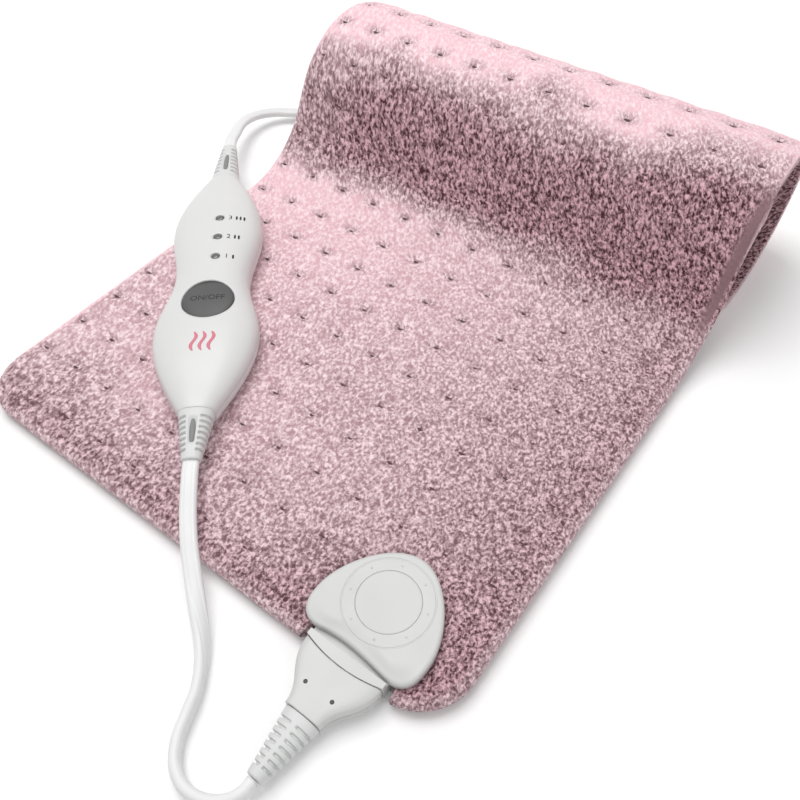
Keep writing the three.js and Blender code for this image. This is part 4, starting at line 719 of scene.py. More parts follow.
def pad_skin(look):
    """The plush over a grid across and along the sheet, which is drawn back round the socket. Thickness rises
    from the sewn edge on a quarter ellipse, drops at each tuft as two bell curves, swells between them as
    squared sines, wanders a little, and is pressed under the plate. Gives the places, both faces' heights,
    the distance from the edge and the distance from the nearest tuft in the radii of its painted shade."""
    pitch = look.tuft_pitch * 1000
    cell = pitch / 12
    v = edge_spaced(0, PAD_LENGTH, TUFT_FIRST[1], cell)
    x = edge_spaced(-PAD_WIDTH / 2, PAD_WIDTH / 2, TUFT_FIRST[0], cell)
    v, x = v[:, None], x[None, :] * half_width(v)[:, None] / (PAD_WIDTH / 2)
    x = x * (1 - NARROW_SHARE * (x > 0) * eased((v - NARROW_FROM) / NARROW_RUN))
    inside = from_edge(x, v)
    notch = NOTCH_DEPTH * eased((NOTCH_HALF - np.abs(x - SOCKET_X)) / NOTCH_EASE)
    v = v + notch * np.clip(1 - v / NOTCH_FADE, 0, 1)
    full = plush_half(inside) * np.sqrt(1 - (1 - np.minimum(inside / EDGE_ROUND, 1)) ** 2)
    column = (x - TUFT_FIRST[0]) / pitch
    row = (v - TUFT_FIRST[1]) / pitch
    beside = pitch * (column - np.clip(np.round(column), 0, TUFT_COUNT[0] - 1))
    beyond = pitch * (row - np.clip(np.round(row), 0, TUFT_COUNT[1] - 1))
    away = np.hypot(beside, beyond)
    held = np.minimum(inside / 5, 1)
    depth = tuft_depth(look, x, v) * held * (0.7 * bell(away, TUFT_CORE) + 0.3 * bell(away, TUFT_SKIRT))
    swell = look.crown * 1000 * np.minimum(inside / EDGE_TAPER, 1) ** 2
    swell = swell * np.sin(np.pi * (column % 1)) ** 2 * np.sin(np.pi * (row % 1)) ** 2
    rough = held * (0.22 * wandering(x, v, 6, 1) + 0.16 * wandering(x, v, 3.2, 2))
    under = eased(-beyond_plate(x, v) / 3 + 1)
    top = full - depth + swell + rough
    top = top * (1 - under) + np.minimum(top, CLAMPED_TOP) * under
    bottom = full - 0.5 * depth - 0.15 * held - np.abs(rough)
    bottom = bottom * (1 - under) + np.minimum(bottom, CLAMPED_BOTTOM) * under
    return x, v, top, -bottom, inside, np.hypot(beside / TUFT_SHADE[0], beyond / TUFT_SHADE[1])


def pile_shade_and_edge(x, v, inside, tuft):
    """How far the pile of the upper face stands up, with its painted shade, and how far it gives way to the
    smooth sewn edge. It lies flat along the rim, and a bell curve round each tuft adds painted shade in the
    tuft's dip.
    The sewn edge is a band inside the right rim, from the roll's foot to its crest, and outside it the plush
    is painted at full shade, for the gap at the roll's end."""
    rim = np.interp(inside, [0, 2.5, 5], [-0.5, -0.25, 0])
    nap_and_shade = raised_pile_and_shade(x, v)
    # Painted shade round each tuft: a bell curve over the distance in the shade's radii
    nap_and_shade = np.clip(nap_and_shade + rim + 0.55 * (1 - nap_and_shade) * bell(tuft, 1), 0, 1)
    # Painted shade of the gap at the roll's end: the plush between the sewn band and the right rim is painted
    # at full shade
    end = (x > 0) * eased((v - SEWN_FROM) / SEWN_FADE) * (1 - eased((v - SEWN_TO) / SEWN_FADE))
    nap_and_shade = np.maximum(nap_and_shade, end * eased((3 - inside) / 1.5))
    band = eased((SEWN_BAND[1] - inside) / 3) * eased((inside - SEWN_BAND[0]) / 1.2)
    return nap_and_shade, end * band


def pile_place(x, v, off):
    """Where a place of the sheet lies in the pile's pattern, in metres. The pattern grows from the front to
    the roll and from the right to the left: its scale falls straight along the sheet and straight across it,
    and the length each way is the sum of that scale. The pile is combed aslant, so its clumps are a third
    longer along the comb than across it."""
    front_scale, fall, even_from = 1.3, 0.0006, 250
    comb_along, comb_aside, squeeze = 0.89, 0.45, 0.75
    held, side = np.minimum(v, even_from), 0.25 * x / (PAD_WIDTH / 2)
    wide = x * (1 + side / 2) * (front_scale - fall * held)
    run = front_scale * held - fall / 2 * held ** 2 + (front_scale - fall * even_from) * (v - held)
    run = (run - 150) * (1 + side)
    along, across = comb_along * run - comb_aside * wide, comb_along * wide + comb_aside * run
    return np.stack(np.broadcast_arrays(across, along * squeeze, off), -1) / 1000


class PAD_OT_pad(bpy.types.Operator):
    """Makes the tufted plush pad with its far end rolled back"""

    bl_idname = "heating_pad.sew_pad"
    bl_label = "Plush pad"

    def execute(self, context):
        look = context.scene.pad_look
        x, v, top, bottom, inside, tuft = pad_skin(look)
        loop = looped(sheet_place(x, v, top), sheet_place(x, v, bottom))
        faces = quads(*loop.shape[:2], round_columns=True)
        pad = make_piece("plush_pad", loop, faces, plush_material(look), closed=False)
        nap_and_shade, edge = pile_shade_and_edge(x, v, inside, tuft)
        set_values(pad, loop, {
            # The lower face is painted at nearly full shade: painted shade of the lower ply where it shows in
            # the gap at the roll's end
            "nap_and_shade": looped(nap_and_shade, np.full_like(nap_and_shade, 0.95)),
            "edge": looped(edge, np.zeros_like(edge)),
            "pile": looped(pile_place(x, v, top), pile_place(x, v, bottom)),
        })
        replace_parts(pad, "pad_top_cover", "pad_bottom_cover")
        return {"FINISHED"}


class PAD_OT_tufts(bpy.types.Operator):
    """Sews a short bar of thread into every tuft that lies clear of the socket plate and the pad's edge"""

    bl_idname = "heating_pad.tie_tufts"
    bl_label = "Tuft threads"

    def execute(self, context):
        look = context.scene.pad_look
        pitch = look.tuft_pitch * 1000
        column, row = np.meshgrid(np.arange(TUFT_COUNT[0]), np.arange(TUFT_COUNT[1]))
        x = TUFT_FIRST[0] + column.ravel() * pitch
        v = TUFT_FIRST[1] + row.ravel() * pitch
        clear_of_plate, clear_of_edge = 3, 5
        kept = (beyond_plate(x, v) > clear_of_plate) & (from_edge(x, v) > clear_of_edge)
        x, v = x[kept], v[kept]
        full, depth = plush_half(from_edge(x, v)), tuft_depth(look, x, v)
        bars = np.concatenate([self.bars(x, v, full - depth + 0.25 - 0.9 * raised_pile_and_shade(x, v)),
                               self.bars(x, v, -(full - 0.5 * depth - 0.15) - 0.1)])
        make_piece("tuft_threads", bars, like_cells(bars, round_columns=True), thread_material())
        return {"FINISHED"}

    def bars(self, x, v, off):
        """A small bar along X at each tuft: a circle carried along, drawn to a point at both ends and dipped
        where the thread goes down."""
        share = np.linspace(-1, 1, 7)[None, :, None]
        angle = round_angles(6)[None, None, :]
        thick = THREAD_RADIUS * np.sqrt(np.maximum(1 - share ** 4, 0))
        across = x[:, None, None] + THREAD_HALF * share + 0 * angle
        along = v[:, None, None] + thick * np.cos(angle)
        height = off[:, None, None] + thick * np.sin(angle) - THREAD_DIP * share ** 4
        return sheet_place(across, along, height)


# The cords

def cord_section(look):
    """The flat cord's outline: a soft oval whose thickness is cut by a groove between each of four cores."""
    angle = round_angles(44)
    wide, tall = superellipse(angle, 2.7)
    cores = np.cos(2 * np.pi * wide * 2) * eased((0.86 - np.abs(wide)) / 0.2)
    half = look.thickness * 500 - look.groove * 250 * (1 + cores)
    return np.stack([wide * look.width * 500, tall * half], 1)


def hank_path():
    """The put-away hank: two loops in, a climb along the front run, and two loops out over them. Each loop
    is two runs, drawn in at the waist, and two half circles whose reach grows by a step a turn."""
    quarter = 24
    loop = 4 * quarter
    step = np.arange(4 * loop + quarter + 1)
    reversal = 2 * loop
    reach = HANK_OUTER - 2 * HANK_STEP + HANK_STEP * np.abs(step - reversal) / loop
    z = HANK_BED + HANK_LAYER * np.clip((step - reversal) / (HANK_CLIMB * quarter), 0, 1)
    side, share = (step % loop) // quarter, (step % quarter) / quarter
    straight = HANK_RUN * (share - 0.5)
    waist = HANK_WAIST * np.sin(np.pi * share) ** 2
    angle = np.pi * share
    x = np.choose(side, [straight, HANK_RUN / 2 + reach * np.sin(angle), -straight,
                         -HANK_RUN / 2 - reach * np.sin(angle)])
    y = np.choose(side, [waist - reach, -reach * np.cos(angle), reach - waist, reach * np.cos(angle)])
    return np.stack([HANK_PLACE[0] + x, HANK_PLACE[1] + y, z], 1)


class PAD_OT_cords(bpy.types.Operator):
    """Lays the pad lead and the mains lead with its tied hank"""

    bl_idname = "heating_pad.lay_cords"
    bl_label = "Cords"

    def execute(self, context):
        # Each lead leaves the case flat and turns on edge on its way
        look = context.scene.cord_look
        section = cord_section(look)
        lead = smooth_path(PAD_LEAD_ROUTE, 150)
        share = np.linspace(0, 1, len(lead))
        rings = carried(lead, section, np.pi / 2 * eased((share - 0.3) / 0.32))
        pad_cord = tube_piece("pad_cord", rings, cord_material(), body=None)
        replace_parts(pad_cord, "pad_lead")
        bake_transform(pad_cord)

        first = smooth_path(MAINS_ROUTE, 170)
        last = smooth_path(TAIL_ROUTE, 24)
        mains = np.concatenate([first, hank_path(), last])
        share = np.concatenate([np.linspace(0, 1, len(first)), np.ones(len(mains) - len(first))])
        rings = carried(mains, section, np.pi / 2 * eased((share - 0.5) / 0.35))
        mains_cord = tube_piece("mains_cord", rings, cord_material())
        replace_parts(mains_cord, "mains_lead", "mains_hank", "mains_tail")
        return {"FINISHED"}


class PAD_OT_plug(bpy.types.Operator):
    """Moulds the mains plug and the tie round the hank"""

    bl_idname = "heating_pad.mould_plug"
    bl_label = "Plug and tie"

    def execute(self, context):
        plug = tube_piece("plug_shell", self.shell() + PLUG_PLACE, cord_material())
        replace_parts(plug, "plug_body")
        boot = boot_rings(PLUG_ROOT, CORD_TIP, PLUG_BOOT, PLUG_RIBS)
        spun = np.stack([-boot[..., 1] - PLUG_GAP, boot[..., 0], boot[..., 2]], -1)
        relief = tube_piece("plug_boot", spun + PLUG_PLACE, cord_material())
        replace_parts(relief, "plug_relief")
        band = self.band()
        tie = make_piece("hank_band", band, quads(*band.shape[:2], round_rows=True, round_columns=True),
                         black_material())
        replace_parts(tie, "hank_tie")
        return {"FINISHED"}

    def shell(self):
        """Rings of the plug along +X: a rounded box that grows by a smooth step from neck to head, with both
        ends rounded over."""
        end = PLUG_LENGTH
        along = np.array([0, 0, 0.5, 1.5, *np.linspace(3, end - 3, 30), end - 1.6, end - 0.6, end, end])
        scale = np.array([0.6, 0.86, 0.95, 0.99, *np.ones(30), 0.99, 0.96, 0.88, 0.5])
        half = PLUG_NECK[0] + PLUG_GROWTH[0] * eased((along - 3) / 18)
        tall = PLUG_NECK[1] + PLUG_GROWTH[1] * eased((along - 1) / 12)
        wide, high = superellipse(round_angles(56), 4.5)
        return np.stack([along[:, None] + 0 * wide, (half * scale)[:, None] * wide,
                         (tall * scale)[:, None] * high], -1)

    def band(self):
        """The tie: a rounded box round the hank's waist as its middle line, and a flat rounded section
        carried round it, whose width runs along X and whose thickness points outward."""
        low, high = (np.array(corner) * 1000 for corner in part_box("hank_tie"))
        reach = (high - low)[1:] / 2 - TIE_THICK - TIE_CORNER
        angle = round_angles(160)
        outward = np.stack([np.cos(angle), np.sin(angle)], 1)
        line = TIE_CORNER * outward + np.sign(np.round(outward, 9)) * reach
        wide, thin = superellipse(round_angles(28), 6)
        across = line[:, None] + TIE_THICK * thin[:, None] * outward[:, None]
        along = np.broadcast_to(TIE_HALF * wide[:, None], (*across.shape[:2], 1))
        return np.concatenate([along, across], -1) + (low + high) / 2


# The controller

def case_half(y):
    """The case's half width: lobes and a waist joined by cosines, and eased down to a nose at each end."""
    waist, (top, top_half), (low, low_half) = WAIST[1], TOP_LOBE, LOW_LOBE
    ease = lambda stop: (1 - np.cos(np.pi * (y - WAIST[0]) / (stop - WAIST[0]))) / 2
    middle = waist + np.where(y > WAIST[0], (top_half - waist) * ease(top), (low_half - waist) * ease(low))
    ends = NOSE_HALF + (np.where(y > WAIST[0], top_half, low_half) - NOSE_HALF) * lobe_share(y)
    return np.where((y > top) | (y < low), ends, middle)


def lobe_share(y):
    """One between the lobes, and a quarter cosine down to nought at each nose."""
    above = (y - TOP_LOBE[0]) / (CASE_ENDS[1] - TOP_LOBE[0])
    below = (LOW_LOBE[0] - y) / (LOW_LOBE[0] - CASE_ENDS[0])
    return np.cos(np.pi / 2 * np.clip(np.maximum(above, below), 0, 1))


def arched(x, y, rise, power):
    """Distance off the parting plane: a superellipse across the case, as high as the nose at both ends."""
    full = np.minimum(np.abs(x) / case_half(y), 1)
    high = NOSE_RISE - PARTING + (rise - NOSE_RISE) * lobe_share(y)
    return PARTING + high * (1 - full ** power) ** (1 / power)


def crown(x, y):
    """Height of the case's top."""
    return arched(x, y, CROWN_RISE, CROWN_POWER)


def belly(x, y):
    """Depth of the case's base."""
    return -arched(x, y, BASE_DEPTH, BASE_POWER)


class PAD_OT_case(bpy.types.Operator):
    """Moulds the controller's upper and lower shells"""

    bl_idname = "heating_pad.mould_case"
    bl_label = "Controller case"

    def execute(self, context):
        holes = [(LENS_X, y, LENS_RADIUS + LENS_GAP) for y in LENS_PLACES]
        holes += [(BUTTON_X, BUTTON_Y, BUTTON_RADIUS + BUTTON_GAP)]
        self.shell("case_top", "controller_top", crown, CROWN_POWER, holes)
        holes = [(0, y, SCREW_HOLE) for y in SCREW_PLACES]
        self.shell("case_base", "controller_base", belly, BASE_POWER, holes)
        return {"FINISHED"}

    def shell(self, name, replaced, height, power, holes):
        """One half of the case over a grid along and across it, drilled, with a wall turned inwards. The last
        millimetre at each nose is rounded in."""
        low, top = CASE_ENDS
        rim = np.array([0, 0.15, 0.45, 0.9])
        y = np.concatenate([low + rim, np.linspace(low + 1.5, top - 1.5, 230), (top - rim)[::-1]])[:, None]
        drawn = 1 - 0.03 * (1 - np.clip(np.minimum(y - low, top - y), 0, 1)) ** 2
        across = superellipse(np.linspace(0, np.pi, 97), power)[0][None, :]
        x = case_half(y) * across
        x, y, inside, on_rim = drilled(x, y + 0 * x, holes, 0.72)
        points = in_case(np.stack([x * drawn, y, height(x, y) * drawn], -1))
        faces = quads(*x.shape)
        faces = faces[~inside.ravel()[faces].any(1) & ~on_rim.ravel()[faces].all(1)]
        if height is crown:
            faces = faces[:, ::-1]
        made = make_piece(name, points, faces, shell_material(), closed=False)
        drop_loose(made)
        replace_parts(solidified(made, CASE_WALL), replaced)


def button_height(x, y):
    """Height of the button's crown: a quarter ellipse from its rim to its middle."""
    away = np.minimum(np.hypot(x - BUTTON_X, y - BUTTON_Y) / BUTTON_RADIUS, 1)
    return BUTTON_RIM + (BUTTON_CROWN - BUTTON_RIM) * np.sqrt(1 - away ** 2)


class PAD_OT_button(bpy.types.Operator):
    """Turns the push button and the three indicator lenses"""

    bl_idname = "heating_pad.fit_button"
    bl_label = "Button and lenses"

    def execute(self, context):
        flange = [(0, FLANGE_UNDER), (FLANGE_RADIUS, FLANGE_UNDER), (FLANGE_RADIUS, FLANGE_TOP),
                  (BUTTON_RADIUS, FLANGE_TOP), (BUTTON_RADIUS, (FLANGE_TOP + BUTTON_RIM) / 2)]
        dome = self.dome(BUTTON_RADIUS, BUTTON_RIM, BUTTON_CROWN)
        rings = in_case(turned(np.concatenate([flange, dome]), 96, (BUTTON_X, BUTTON_Y)))
        button = ring_piece("button_cap", rings, button_material(), body="button")
        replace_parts(button, "power_button")
        dome = self.dome(LENS_RADIUS, LENS_TOP - LENS_DOME, LENS_TOP)
        profile = np.concatenate([[(0, LENS_FOOT), (LENS_RADIUS, LENS_FOOT)], dome])
        for index, y in enumerate(LENS_PLACES):
            rings = in_case(turned(profile, 40, (LENS_X, y)))
            lens = ring_piece(f"lens_{index + 1}", rings, lens_material())
            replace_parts(lens, f"indicator_lens_{index + 1}")
        return {"FINISHED"}

    def dome(self, radius, rim, top):
        """A quarter ellipse from a rim's radius and height up to the middle."""
        angle = np.linspace(0, np.pi / 2, 26)
        return np.stack([radius * np.cos(angle), rim + (top - rim) * np.sin(angle)], 1)


def printed(name, points, faces, height, material, body="pad"):
    """Lays flat print in the case's own frame onto a surface of it, as a film a few hundredths thick."""
    x, y = points.reshape(-1, 2).T
    placed = in_case(np.stack([x, y, height(x, y) + PRINT_LIFT], 1))
    film = make_piece(name, placed, faces, material, body, closed=False)
    return solidified(film, PRINT_FILM)


def lettered(text, size):
    """The outline of a line of text as points about its middle and triangles."""
    curve = bpy.data.curves.new("lettering", "FONT")
    curve.body, curve.size, curve.align_x, curve.align_y = text, size, "CENTER", "CENTER"
    curve.resolution_u = 3
    holder = bpy.data.objects.new("lettering", curve)
    bpy.context.scene.collection.objects.link(holder)
    bpy.context.view_layer.update()
    mesh = bpy.data.meshes.new_from_object(holder.evaluated_get(bpy.context.evaluated_depsgraph_get()))
    mesh.calc_loop_triangles()
    points = np.zeros(len(mesh.vertices) * 3)
    mesh.vertices.foreach_get("co", points)
    faces = np.zeros(len(mesh.loop_triangles) * 3, int)
    mesh.loop_triangles.foreach_get("vertices", faces)
    bpy.data.objects.remove(holder)
    bpy.data.meshes.remove(mesh)
    return points.reshape(-1, 3)[:, :2], faces.reshape(-1, 3)


class PAD_OT_print(bpy.types.Operator):
    """Prints the button's words, the level marks and a plain heat sign"""

    bl_idname = "heating_pad.print_marks"
    bl_label = "Print"

    def execute(self, context):
        look = context.scene.case_look
        dark = ink_material("pad-printed dark ink", look.ink)
        pink = ink_material("pad-printed pink ink", look.heat)
        words, faces = lettered("ON/OFF", WORDS_SIZE)
        printed("button_print", words + [BUTTON_X, BUTTON_Y], faces, button_height, dark,
                "button")
        for index, y in enumerate(LENS_PLACES):
            number, faces = lettered(str(index + 1), NUMBER_SIZE)
            printed(f"level_{index + 1}", number + [NUMBER_X, y], faces, crown, dark)
        bars = np.stack([self.bar(BAR_X + BAR_STEP * step, y) for index, y in enumerate(LENS_PLACES)
                         for step in range(index + 1)])
        printed("level_bars", bars, like_cells(bars), crown, dark)
        waves = np.stack([self.wave(BUTTON_X + WAVE_STEP * step, WAVE_Y) for step in (-1, 0, 1)])
        printed("heat_sign", waves, like_cells(waves), crown, pink)
        return {"FINISHED"}

    def bar(self, x, y):
        """A small upright bar with rounded ends."""
        along, across = np.linspace(-1, 1, 6)[:, None], np.linspace(-1, 1, 4)[None, :]
        wide = BAR_HALF * np.sqrt(1 - np.abs(along) ** 6 * 0.8)
        return np.stack([x + wide * across, y + BAR_RISE * along + 0 * across], -1)

    def wave(self, x, y):
        """A rising wave: a sine across, and a width that thins to both ends."""
        along, across = np.linspace(-1, 1, 40)[:, None], np.linspace(-1, 1, 3)[None, :]
        wide = WAVE_HALF * np.sqrt(np.maximum(1 - along ** 4, 0.02))
        return np.stack([x + WAVE_SWING * np.sin(np.pi * along) + wide * across,
                         y + WAVE_RISE * along + 0 * across], -1)


# Strain reliefs

def boot_rings(root, tip, run, ribs, slot=0.0, spine=0.34, bias=0.25):
    """A ribbed boot along +Y: an oval that tapers straight from root to tip, cut on both flanks by a row of
    grooves that the middle spine keeps apart, with a slot along the spine where asked. The bias widens the
    grooves."""
    share = np.linspace(0, 1, 26 * (ribs + 2))[:, None]
    angle = round_angles(120)[None, :]
    flank = eased((np.abs(np.cos(angle)) - spine) / 0.12)
    slotted = eased((0.62 * spine - np.abs(np.cos(angle))) / 0.05)
    turns = share * (ribs + 2) - 1
    ribbed = eased(turns / 0.2) * eased((ribs - turns) / 0.2)
    groove = eased((np.cos(2 * np.pi * turns + np.pi) + bias) / 0.7) * ribbed
    middle = eased((share - 0.14) / 0.14) * eased((0.76 - share) / 0.14)
    cut = RIB_CUT * groove * flank + slot * middle * slotted
    rounded = 1 - 0.1 * (1 - np.clip((1 - share) * run / 0.9, 0, 1)) ** 2
    wide, tall = [(big + (small - big) * share) * rounded - cut for big, small in zip(root, tip)]
    section = superellipse(angle, 2.5)
    return np.stack([wide * section[0], share * run + 0 * angle, tall * section[1]], -1)


class PAD_OT_reliefs(bpy.types.Operator):
    """Moulds the ribbed strain reliefs of the controller and the connector"""

    bl_idname = "heating_pad.mould_reliefs"
    bl_label = "Strain reliefs"

    def execute(self, context):
        mains = self.case_boot("mains_boot", CASE_ENDS[1], MAINS_BOOT, 1)
        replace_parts(mains, "mains_relief")
        lead = self.case_boot("lead_boot", CASE_ENDS[0], LEAD_BOOT, -1)
        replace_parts(lead, "lead_relief")
        boot = boot_rings(CONNECTOR_ROOT, CORD_TIP, CONNECTOR_BOOT, RIB_COUNT, spine=0.1, bias=-0.15)
        place = np.array([SOCKET_X, FRONT_Y - CONNECTOR_RUN - CONNECTOR_GAP, CONNECTOR_Z])
        made = tube_piece("connector_boot", boot * [-1, -1, 1] + place, relief_material(),
                          body="connector")
        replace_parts(made, "connector_relief")
        # Grey pieces in the slots of the case's boots: painted shade for the shade inside the slots
        tube_piece("mains_slot_shade", self.core(CASE_ENDS[1], MAINS_BOOT), slot_shade_material())
        tube_piece("lead_slot_shade", self.core(CASE_ENDS[0], -LEAD_BOOT), slot_shade_material())
        return {"FINISHED"}

    def case_boot(self, name, end, run, facing):
        """A slotted boot at one end of the case, which faces along the case or against it."""
        boot = boot_rings(BOOT_ROOT, BOOT_TIP, run, RIB_COUNT, SLOT_DEPTH) * [facing, facing, 1]
        rings = in_case(boot + [0, end + facing * BOOT_GAP, 0])
        return tube_piece(name, rings, relief_material())

    def core(self, end, run):
        """A grey ellipsoid in a boot's slot, painted shade for the shade inside the slot: drawn out along the
        spine, whose top lies just under the boot's taper."""
        step = np.cos(np.linspace(np.pi, 0, 26)[1:-1])[:, None]
        angle = round_angles(20)[None, :]
        share, full = 0.45 + 0.27 * step, np.sqrt(1 - step ** 2)
        top = BOOT_ROOT[1] + (BOOT_TIP[1] - BOOT_ROOT[1]) * share
        return in_case(np.stack([SLOT_SHADE_HALF * full * np.cos(angle), end + run * share + 0 * angle,
                                 top - SLOT_SHADE_SUNK + SLOT_SHADE_RISE * full * np.sin(angle)], -1))


# Socket and connector

def dressed(name, material):
    """Gives a solid of the frame its material and softens its edges."""
    obj = NODES[name]
    obj.data.materials.clear()
    obj.data.materials.append(material)
    weld = obj.modifiers.new("weld", "WELD")
    weld.merge_threshold = 1e-5
    edge = obj.modifiers.new("edge", "BEVEL")
    edge.width, edge.segments, edge.limit_method, edge.angle_limit = 0.0004, 2, "ANGLE", math.radians(40)


class PAD_OT_socket(bpy.types.Operator):
    """Moulds the socket's clamp plate and boss, and finishes its receptacle and base"""

    bl_idname = "heating_pad.mould_socket"
    bl_label = "Socket"

    def execute(self, context):
        centre = np.array([SOCKET_X, FRONT_Y + BOSS_Y])
        plate = ring_piece("socket_plate", self.plate(centre), clamp_material())
        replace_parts(plate, "socket_top")
        rim = [(0.3, -1.3), (0, -1), (0, -0.4), (0.08, -0.1), (0.2, -0.02), (0.4, 0)]
        disc = [(0, -1.3), *((BOSS_RADIUS - inset, height) for inset, height in rim)]
        disc += [(12, 0.01), (6, 0.03), (0, 0.05)]
        boss = ring_piece("socket_disc", turned(disc, 120, centre, SOCKET_TOP), clamp_material())
        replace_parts(boss, "socket_boss")
        turns = round_angles(PIP_COUNT) + PIP_TURN
        places = centre + PIP_REACH * np.stack([np.cos(turns), np.sin(turns)], 1)
        pip = [(0, -0.02), (0.55, -0.02), (0.42, 0.12), (0, 0.16)]
        pips = np.stack([turned(pip, 12, place, SOCKET_TOP) for place in places])
        make_piece("socket_pips", pips, like_cells(pips, round_columns=True), clamp_material())
        for name in ("socket_receptacle", "socket_base"):
            dressed(name, clamp_material())
        return {"FINISHED"}

    def plate(self, centre):
        """Rings about the boss: out under the skirt, up the wall, over its round, in across the flat, through
        the ring's groove and down the boss's well. Towards the connector the top dips by smooth steps."""
        angle = np.linspace(-np.pi, np.pi, 240, endpoint=False)
        reach = plan_reach(angle)[None, :]
        over = np.linspace(0, np.pi / 2, 9)
        inset = np.concatenate([[0, 0], SOCKET_ROUND * (1 - np.cos(over))])[:, None]
        wall = [SOCKET_SKIRT, SOCKET_TOP - 3, *(SOCKET_TOP - SOCKET_ROUND + SOCKET_ROUND * np.sin(over))]
        share = np.linspace(0, 1, 14)[1:, None]
        flat = (reach - SOCKET_ROUND) * (1 - share) + (RING_RADIUS + 0.8) * share
        groove = [(0.6, 0), (0.45, 0), (0.3, 0.15), (0, 0.25), (-0.3, 0.15), (-0.45, 0), (-0.6, 0)]
        well = [(2.7, 0), (0.5, 0), (0.3, 0), (0.12, 0.08), (0.05, 0.2), (0.05, BOSS_WELL)]
        inner = np.array([*((RING_RADIUS + out, SOCKET_TOP - down) for out, down in groove),
                          *((BOSS_RADIUS + out, SOCKET_TOP - down) for out, down in well),
                          (6, SOCKET_TOP - BOSS_WELL), (0, SOCKET_TOP - BOSS_WELL)])
        radius = np.concatenate([0 * reach, reach - inset, flat, inner[:, :1] + 0 * reach])
        height = np.concatenate([[SOCKET_SKIRT], wall, np.full(len(flat), SOCKET_TOP), inner[:, 1]])[:, None]
        facing = eased((-np.sin(angle) - 0.45) / 0.3) * eased((radius - reach + 9) / 9)
        height = height - SOCKET_DIP * facing * (height > SOCKET_TOP - 2)
        return np.stack([centre[0] + radius * np.cos(angle), centre[1] + radius * np.sin(angle), height], -1)


class PAD_OT_connector(bpy.types.Operator):
    """Moulds the two shells of the plug-in connector"""

    bl_idname = "heating_pad.mould_connector"
    bl_label = "Connector"

    def execute(self, context):
        self.half("connector_cover", "connector_top", 1)
        self.half("connector_tray", "connector_bottom", -1)
        # Two flat dark grey discs where the cover's dimples are: painted shade of the dimples, which the
        # shell doesn't sink
        dimple_shade = [(0, -0.04), (DIMPLE_RADIUS, -0.04), (DIMPLE_RADIUS, 0.02), (0, 0.03)]
        top = CONNECTOR_Z + PARTING + CONNECTOR_RISE
        places = [(SOCKET_X + side * DIMPLE_SPACING / 2, FRONT_Y - DIMPLE_REACH) for side in (-1, 1)]
        dots = np.stack([turned(dimple_shade, 16, place, top) for place in places])
        make_piece("connector_dimple_shades", dots, like_cells(dots, round_columns=True), button_material(),
                   body="connector")
        return {"FINISHED"}

    def half(self, name, replaced, facing):
        """One shell: a half superellipse carried along, whose half width follows a Bezier curve and whose
        back edge follows the socket's bulging lip, rounded over at both ends and closed by the parting
        plane."""
        wide_end, back, neck, tip = CONNECTOR_HALF, CONNECTOR_BACK, CONNECTOR_NECK, -CONNECTOR_RUN
        line = bezier([(wide_end, back), (wide_end, -11), (neck, -15), (neck, tip)], 60)
        line = np.concatenate([np.repeat(line[:1], 4, 0), line, np.repeat(line[-1:], 4, 0)])
        half, at = line[:, :1], line[:, 1:]
        share = np.clip(np.arange(-4, 64) / 59, 0, 1)[:, None]
        scale = np.concatenate([[0.5, 0.93, 0.955, 0.985], np.ones(60), [0.985, 0.95, 0.9, 0.5]])[:, None]
        shift = np.concatenate([[0, 0, -0.12, -0.4], np.zeros(64)])[:, None]
        wide, tall = superellipse(np.linspace(0, np.pi, 73), 6)
        x = half * scale * wide
        lip = -CONNECTOR_LIP + 3 * np.minimum(np.abs(x) / CONNECTOR_HALF, 1) ** 2
        y = at + lip * (1 - share) ** 2 + shift
        z = CONNECTOR_Z + facing * (PARTING + CONNECTOR_RISE * scale * np.maximum(tall, 0))
        points = np.stack([SOCKET_X + x, FRONT_Y + y, z], -1)
        made = tube_piece(name, points, clamp_material(), body="connector")
        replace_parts(made, replaced)


class PAD_OT_inner(bpy.types.Operator):
    """Gives the parts inside the pad, the case and the connector their materials"""

    bl_idname = "heating_pad.finish_inner_parts"
    bl_label = "Inner parts"

    def execute(self, context):
        silicone = moulded("extruded silicone", linear("#d8d2c4"), 0.5, 0.9, 0.05, 0.1)
        resin = moulded("cast epoxy resin", linear("#eee9d8"), 0.3, 1.0, 0.02, 0.12)
        film = moulded("dipped film capacitor", linear("#8b4a33"), 0.35, 0.8, 0.05, 0.2)
        ceramic = moulded("fuse ceramic", linear("#e4dfd2"), 0.3, 0.6, 0.02, 0.1)
        brass = metal_material("drawn brass", linear("#d3b26a"), 0.28, 0.3, (0.1, 1, 1))
        steel = metal_material("zinc-plated steel", linear("#c3c6ca"), 0.32, 0.4, (1, 1, 0.2))
        finishes = {
            felt_material(): ["upper_felt", "lower_felt"],
            silicone: ["heating_wire"],
            black_material(): ["thermal_cutout", "switch_plunger", "switch_body", "triac", "control_chip"],
            board_material(): ["circuit_board"],
            resin: ["led_1", "led_2", "led_3"],
            film: ["film_capacitor"],
            ceramic: ["fuse"],
            brass: [*(f"socket_pin_{n}" for n in (1, 2, 3)), *(f"connector_sleeve_{n}" for n in (1, 2, 3)),
                    "plug_blade_1", "plug_blade_2"],
            steel: ["case_screw_1", "case_screw_2"],
            button_material(): ["connector_tongue"],
        }
        for material, names in finishes.items():
            for name in names:
                NODES[name].data.materials.clear()
                NODES[name].data.materials.append(material)
        return {"FINISHED"}


# Stage

